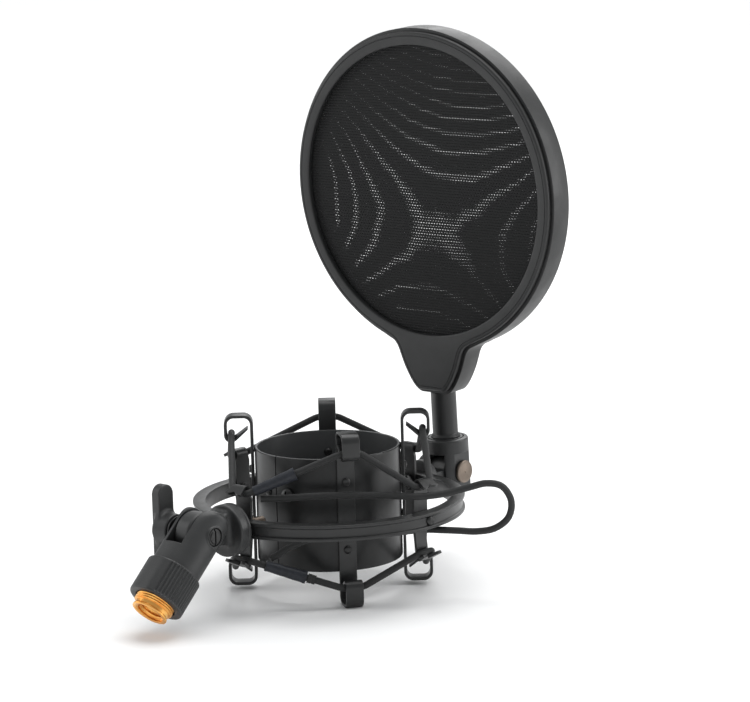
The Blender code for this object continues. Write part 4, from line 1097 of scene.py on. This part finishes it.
def make_adapter(brass):
    """Threaded bush: outside thread, a plain neck, and a lip at its open end."""
    top, end = -BARREL_START - 1.9, -ADAPTER_END
    neck_r, lip_r, mouth_deep, outer_pitch, bore_pitch = 6.95, 7.25, 1.3, 0.94, 1.59

    def field(x, y, z):
        radial = np.hypot(x, y)
        angle = np.arctan2(y, x)
        flank = thread(z, angle, outer_pitch, 0.42)
        body = rod_field(radial + flank, z, ADAPTER_R, end + 2.6, top, 0.25)
        neck = rod_field(radial, z, neck_r, end + 0.2, end + 4.0, 0.2)
        lip = rod_field(radial, z, lip_r, end, end + 0.8, 0.3)
        shape = round_join(round_join(body, neck, 0.2), lip, 0.4)
        mouth = 1.1 * np.clip((end + mouth_deep - z) / mouth_deep, 0, 1)
        bore = radial - ADAPTER_BORE_R - 0.35 - mouth + 0.75 * thread(z, angle, bore_pitch, 1.0)
        return round_cut(shape, bore, 0.2)

    carved("adapter_bush", field, (-8.4, -8.4, -37.5), (8.4, 8.4, top + 0.5), 0.16, SWIVEL_FRAME,
           brass, "thread_adapter", "gold_brass", "thread_adapter")


# ---- pop filter

def make_yoke(plastic):
    """A short cylinder with a slot for the tongue and a flat panel where the bolt's head sits."""
    slot_half, slot_top, panel_half, panel_top, panel_corner = 4.85, 7.9, 4.4, 5.8, 2.2
    groove_r, stem_hole_r, bolt_hole_r = 7.3, 3.3, 2.6

    def field(x, y, z):
        radial = np.hypot(x, y)
        body = rod_field(radial, z, YOKE_R + 0.5, YOKE_LOW, YOKE_HIGH, 0.9)
        ridge = rod_field(radial, z, YOKE_R - 1.1, YOKE_HIGH - 1.0, YOKE_HIGH + 0.25, 0.3)
        body = round_join(body, ridge, 0.3)
        groove = np.abs(radial - groove_r) - 0.2 + np.maximum(YOKE_HIGH - 0.35 - z, 0)
        body = round_cut(body, groove, 0.15)
        panel = np.hypot(np.maximum(np.abs(y) - panel_half, 0), np.maximum(z - panel_top, 0))
        panel = panel - panel_corner
        facet = np.maximum(panel, np.where(x > 0, HEAD_SEAT - GAP, YOKE_FLAT) - np.abs(x))
        body = round_cut(body, facet, 0.18)
        slot = np.maximum(np.abs(x - TONGUE_X) - slot_half, z - slot_top)
        body = round_cut(body, slot, 0.4)
        stem_hole = rod_field(radial, z, stem_hole_r, YOKE_HIGH - 4.2, YOKE_HIGH + 3, 0.1)
        body = round_cut(body, stem_hole, 0.2)
        return round_cut(body, np.hypot(y, z) - bolt_hole_r, 0.2)

    carved("yoke_moulding", field, (-9.9, -9.9, -9.6), (9.9, 9.9, 14.6), 0.19, YOKE_FRAME, plastic,
           "filter_yoke", "black_plastic", "filter_yoke")


def make_yoke_hardware(nickel, steel):
    """The bolt with its thin domed head, and the washer and knurled nut at its far end."""
    seat = YOKE_FLAT + GAP
    shank = [(0, -12.4), (1.9, -12.4), (2.3, -12.0), (2.3, HEAD_SEAT)]
    head = ((4.55, 0.0), (4.7, 0.3), (4.7, 1.0), (4.3, 1.4), (3.9, 1.3), (2.4, 1.45), (0.5, 1.5),
            (0.4, 1.7), (0, 1.7))
    profile = shank + [(radius, HEAD_SEAT + rise) for radius, rise in head]
    lathed("yoke_bolt", profile, 0.25, 96, YOKE_FRAME @ ALONG_X, nickel, "filter_yoke", "nickel",
           "filter_pivot_bolt")
    make_washer("yoke_washer", 2.4, 4.9, seat, 0.7, 0.18, YOKE_FRAME, steel, "filter_yoke",
                "filter_washer")
    inner = -seat - 0.7 - GAP
    nut_r, nut_thick, nut_bore_r, ridges, ridge_deep = 4.8, 4.2, 2.45, 36, 0.22

    def field(x, y, z):
        radial = np.hypot(y, z)
        knurl = ridge_deep * (0.5 + 0.5 * np.cos(ridges * np.arctan2(z, y)))
        nut = rod_field(radial + knurl, x, nut_r, inner - nut_thick, inner, 0.55)
        return round_cut(nut, radial - nut_bore_r, 0.3)

    carved("yoke_nut_knurled", field, (inner - 4.7, -5.3, -5.3), (inner + 0.5, 5.3, 5.3), 0.15,
           YOKE_FRAME, steel, "filter_nut", "nickel", "filter_clamp_nut")


def neck_outline():
    """Right half of the hoop with its tulip-shaped neck, from the bottom up, as (x, z)."""
    side = ((0.0, 0.0), (3.4, 0.0), (6.2, 0.0), (8.0, 0.6), (9.4, 1.75), (11.2, 4.0), (12.7, 6.4),
            (14.0, 8.8), (15.1, 11.1), (16.0, 13.4), (16.7, 15.2), (17.3, 16.9), (18.3, 18.8),
            (19.9, 20.4), (22.4, 21.6))
    points = catmull([Vector((x, z - NECK_DROP)) for x, z in side], 5)
    first = math.degrees(math.asin(25.3 / HOOP_R))
    return points + [Vector(p) for p in arc((0, 0), HOOP_R, -90 + first, 90, 130)]


def whole_outline():
    right = neck_outline()
    return right + [Vector((-p.x, p.y)) for p in reversed(right[1:-1])]


def inset_loop(loop, inset):
    """The outline moved inwards, square to itself."""
    count = len(loop)
    moved = []
    for i in range(count):
        along = (loop[(i + 1) % count] - loop[i - 1]).normalized()
        moved.append(loop[i] + Vector((-along.y, along.x)) * inset)
    return moved


def at_depth(loop, y):
    return [Vector((point.x, y, point.y)) for point in loop]


def round_rim(loop, inset, y, radius, from_face, outwards, steps=4):
    """Loops that turn a rim through a quarter circle, from the face to the side or back."""
    made = []
    for k in range(steps + 1):
        turn = math.pi / 2 * (k / steps if from_face else 1 - k / steps)
        made.append(at_depth(inset_loop(loop, inset + radius * (1 - math.sin(turn))),
                             y + outwards * radius * (1 - math.cos(turn))))
    return made


def circle_rim(loop, radius, y, curve, start_turn, end_turn, steps=4):
    """Loops round a circular opening that turn through an arc in the (radius, depth) plane."""
    made = []
    for k in range(steps + 1):
        turn = math.radians(start_turn + (end_turn - start_turn) * k / steps)
        ring = [point.normalized() * (radius + curve * math.cos(turn)) for point in loop]
        made.append(at_depth(ring, y + curve * math.sin(turn)))
    return made


def make_rear_shell(outline, plastic):
    front, back = HOOP_FRONT + BEZEL_THICK + 0.25, HOOP_BACK
    opening, seat = HOOP_OPENING_R, HOOP_OPENING_R + 1.8
    floor = back - 1.3
    loops = round_rim(outline, 0.0, front, 0.25, True, 1)
    loops += round_rim(outline, 0.0, back, 0.6, False, -1)
    loops += circle_rim(outline, opening + 0.4, back - 0.4, 0.4, 90, 180)
    loops += [at_depth([p.normalized() * r for p in outline], y)
              for r, y in ((opening, NET_SEAT), (seat, NET_SEAT), (seat, floor))]
    loops += [at_depth(inset_loop(outline, HOOP_WALL), y) for y in (floor, front)]
    obj = to_object("rear_shell_moulding", bridged(loops, HOOP_FRAME), plastic)
    piece(obj, "pop_filter", "black_plastic", "rear_shell")


def make_bezel(outline, plastic):
    front, opening, edge = HOOP_FRONT, HOOP_OPENING_R, HOOP_R - BEZEL_R
    groove = ((1.75, 0.0), (1.62, 0.2), (1.46, 0.2), (1.33, 0.0))
    loops = [at_depth(inset_loop(outline, edge + inset), front + depth) for inset, depth in groove]
    loops += round_rim(outline, edge, front, 0.8, True, 1)
    loops += [at_depth(inset_loop(outline, edge), front + BEZEL_THICK)]
    loops += [at_depth([p.normalized() * opening for p in outline], front + BEZEL_THICK)]
    loops += circle_rim(outline, opening + 0.7, front + 0.7, 0.7, 180, 270)
    obj = to_object("front_bezel_moulding", bridged(loops, HOOP_FRAME), plastic)
    piece(obj, "pop_filter", "black_plastic", "front_bezel")


def make_spacer(plastic):
    """The ring that holds the two nets apart."""
    net = 0.3
    low, high = HOOP_FRONT + BEZEL_THICK + 2 * GAP + net, NET_SEAT - 2 * GAP - net
    profile = [(HOOP_OPENING_R, low), (MESH_R, low), (MESH_R, high), (HOOP_OPENING_R, high)]
    lathed("net_spacer_ring", profile, 0.3, 240, HOOP_FRAME @ ALONG_Y, plastic, "pop_filter",
           "black_plastic", "mesh_spacer")


def make_neck_screws(steel):
    seat = HOOP_BACK + GAP
    head_r, head_high, shank_r, shank_long, cross_deep = 2.3, 1.2, 1.2, 9.0, 0.9

    def field(x, y, z):
        head = domed_head(x, y, z, seat, head_r, 0.4, head_high, 0.3, 2.4, 3.6, 0.2)
        shank = rod_field(np.hypot(x, y), z, shank_r, seat - shank_long, seat, 0.2)
        return cross_cut(round_join(head, shank, 0.2), x, y, z - seat - head_high, cross_deep)

    for index, x in ((1, -9.0), (2, 9.0)):
        matrix = HOOP_FRAME @ Matrix.Translation((x, 0, -67.0)) @ ALONG_Y
        carved(f"neck_screw_head_{index}", field, (-2.7, -2.7, seat - 9.4), (2.7, 2.7, seat + 1.6),
               0.15, matrix, steel, "pop_filter", "dark_steel", f"neck_screw_{index}")


def make_stem(plastic):
    """A round stem with a flared foot on the yoke, a pin down into it and one up into the neck."""
    shoulder = YOKE_HIGH + GAP - HOOP_RISE
    foot, top = shoulder - 4.0, -NECK_DROP - GAP
    profile = [(0, foot), (3.0, foot), (3.0, shoulder), (STEM_R + 0.7, shoulder),
               (STEM_R + 0.7, shoulder + 0.5), (STEM_R - 0.1, shoulder + 1.4),
               (STEM_R - 0.12, top - 0.6), (STEM_R - 0.12, top), (2.8, top), (2.8, top + 14),
               (0, top + 14)]
    lathed("stem_rod", profile, 0.3, 128, HOOP_FRAME, plastic, "pop_filter", "black_plastic",
           "filter_stem")


def make_nets(front_look, rear_look):
    """Two round nets, clamped at the rim, each a thin sheet with a very slight slack."""
    rings, steps, thick = 30, 180, 0.15
    for name, node, y, look, slack in (
            ("front_net", "front_mesh", HOOP_FRONT + BEZEL_THICK + GAP + thick, front_look, 0.10),
            ("rear_net", "rear_mesh", NET_SEAT - GAP - thick, rear_look, -0.08)):
        bm = bmesh.new()
        centre = bm.verts.new((0, (y + slack) * MM, 0))
        turns = [2 * math.pi * k / steps for k in range(steps)]
        loops = []
        for i in range(1, rings + 1):
            radius = MESH_R * i / rings
            sag = slack * (1 - (i / rings) ** 2)
            loops.append([bm.verts.new(Vector((radius * math.cos(turn), y + sag,
                                               radius * math.sin(turn))) * MM) for turn in turns])
        for k in range(steps):
            m = (k + 1) % steps
            bm.faces.new((centre, loops[0][k], loops[0][m]))
            for a, b in zip(loops, loops[1:]):
                bm.faces.new((a[k], a[m], b[m], b[k]))
        obj = to_object(name, bm, look)
        place = Matrix.Translation(HOOP_FRAME.translation * MM)
        obj.matrix_world = place @ HOOP_FRAME.to_3x3().to_4x4()
        piece(obj, "pop_filter", "filter_mesh", node)


# ---- assembly

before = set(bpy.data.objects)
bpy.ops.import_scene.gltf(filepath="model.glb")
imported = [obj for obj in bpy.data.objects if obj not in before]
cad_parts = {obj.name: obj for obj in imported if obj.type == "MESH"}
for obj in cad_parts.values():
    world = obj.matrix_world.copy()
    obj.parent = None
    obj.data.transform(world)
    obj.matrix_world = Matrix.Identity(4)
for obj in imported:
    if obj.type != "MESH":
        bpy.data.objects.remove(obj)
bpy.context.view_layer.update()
make_camera()
make_studio()

PAINT = coated("satin_black_paint", 0.012, 0.34, 1400.0)
# inside the tube this paint is painted a lighter grey, painted light for the light the tube's
# inside catches
TUBE_PAINT = coated("semi_gloss_black", 0.010, 0.33, 700.0, dust=0.1, scuff=0.1, depth=0.00001,
                    inside_painted_light=0.062, shine=0.36)
PLASTIC = moulded("grained_black_plastic", 0.025, 0.43, 2600.0)
HOOP_PLASTIC = moulded("hoop_plastic", 0.014, 0.42, 2200.0)
BEZEL_PLASTIC = moulded("bezel_plastic", 0.017, 0.48, 2200.0)
RUBBER = braided("braided_elastic")
SLEEVE = shrunk("shrink_tube")
FELT = felted("black_felt")
FRONT_NET = knitted("front_knit", False)
REAR_NET = knitted("rear_knit", True)
BRASS = metal("gilt_brass", (1.0, 0.56, 0.16), 0.25, (900, 900, 5200), 0.00004,
              (0.70, 0.22, 0.02))
NICKEL = metal("nickel_plate", (0.19, 0.155, 0.128), 0.38, (500, 6000, 6000), 0.00004,
               (0.09, 0.075, 0.062))
STEEL = metal("blackened_steel", (0.06, 0.06, 0.06), 0.32, (2500, 2500, 2500), 0.00002,
              (0.03, 0.03, 0.03))

make_link_cord(RUBBER)
make_elastics(RUBBER, SLEEVE)
make_ring(PAINT)
make_posts(PAINT)
make_post_rivets(STEEL)
make_bracket_screw("filter_side_screw", "filter_bracket_screw", 90, 2.7, 1.2, STEEL)
make_bracket_screw("swivel_side_screw", "swivel_fixing_screw", 270, 4.4, 6.6, NICKEL)
make_swivel_bracket(PLASTIC)
make_filter_bracket(PLASTIC)
make_tube(TUBE_PAINT, FELT, STEEL)
make_straps(PAINT)
make_cradle_rivets(STEEL)
make_clamp_screw(STEEL)
make_fork(PLASTIC)
make_swivel_hardware(STEEL)
make_wing_lever(PLASTIC)
make_adapter(BRASS)
make_yoke(PLASTIC)
make_yoke_hardware(NICKEL, STEEL)
HOOP_OUTLINE = whole_outline()
make_rear_shell(HOOP_OUTLINE, HOOP_PLASTIC)
make_bezel(HOOP_OUTLINE, BEZEL_PLASTIC)
make_spacer(HOOP_PLASTIC)
make_neck_screws(STEEL)
make_stem(HOOP_PLASTIC)
make_nets(FRONT_NET, REAR_NET)
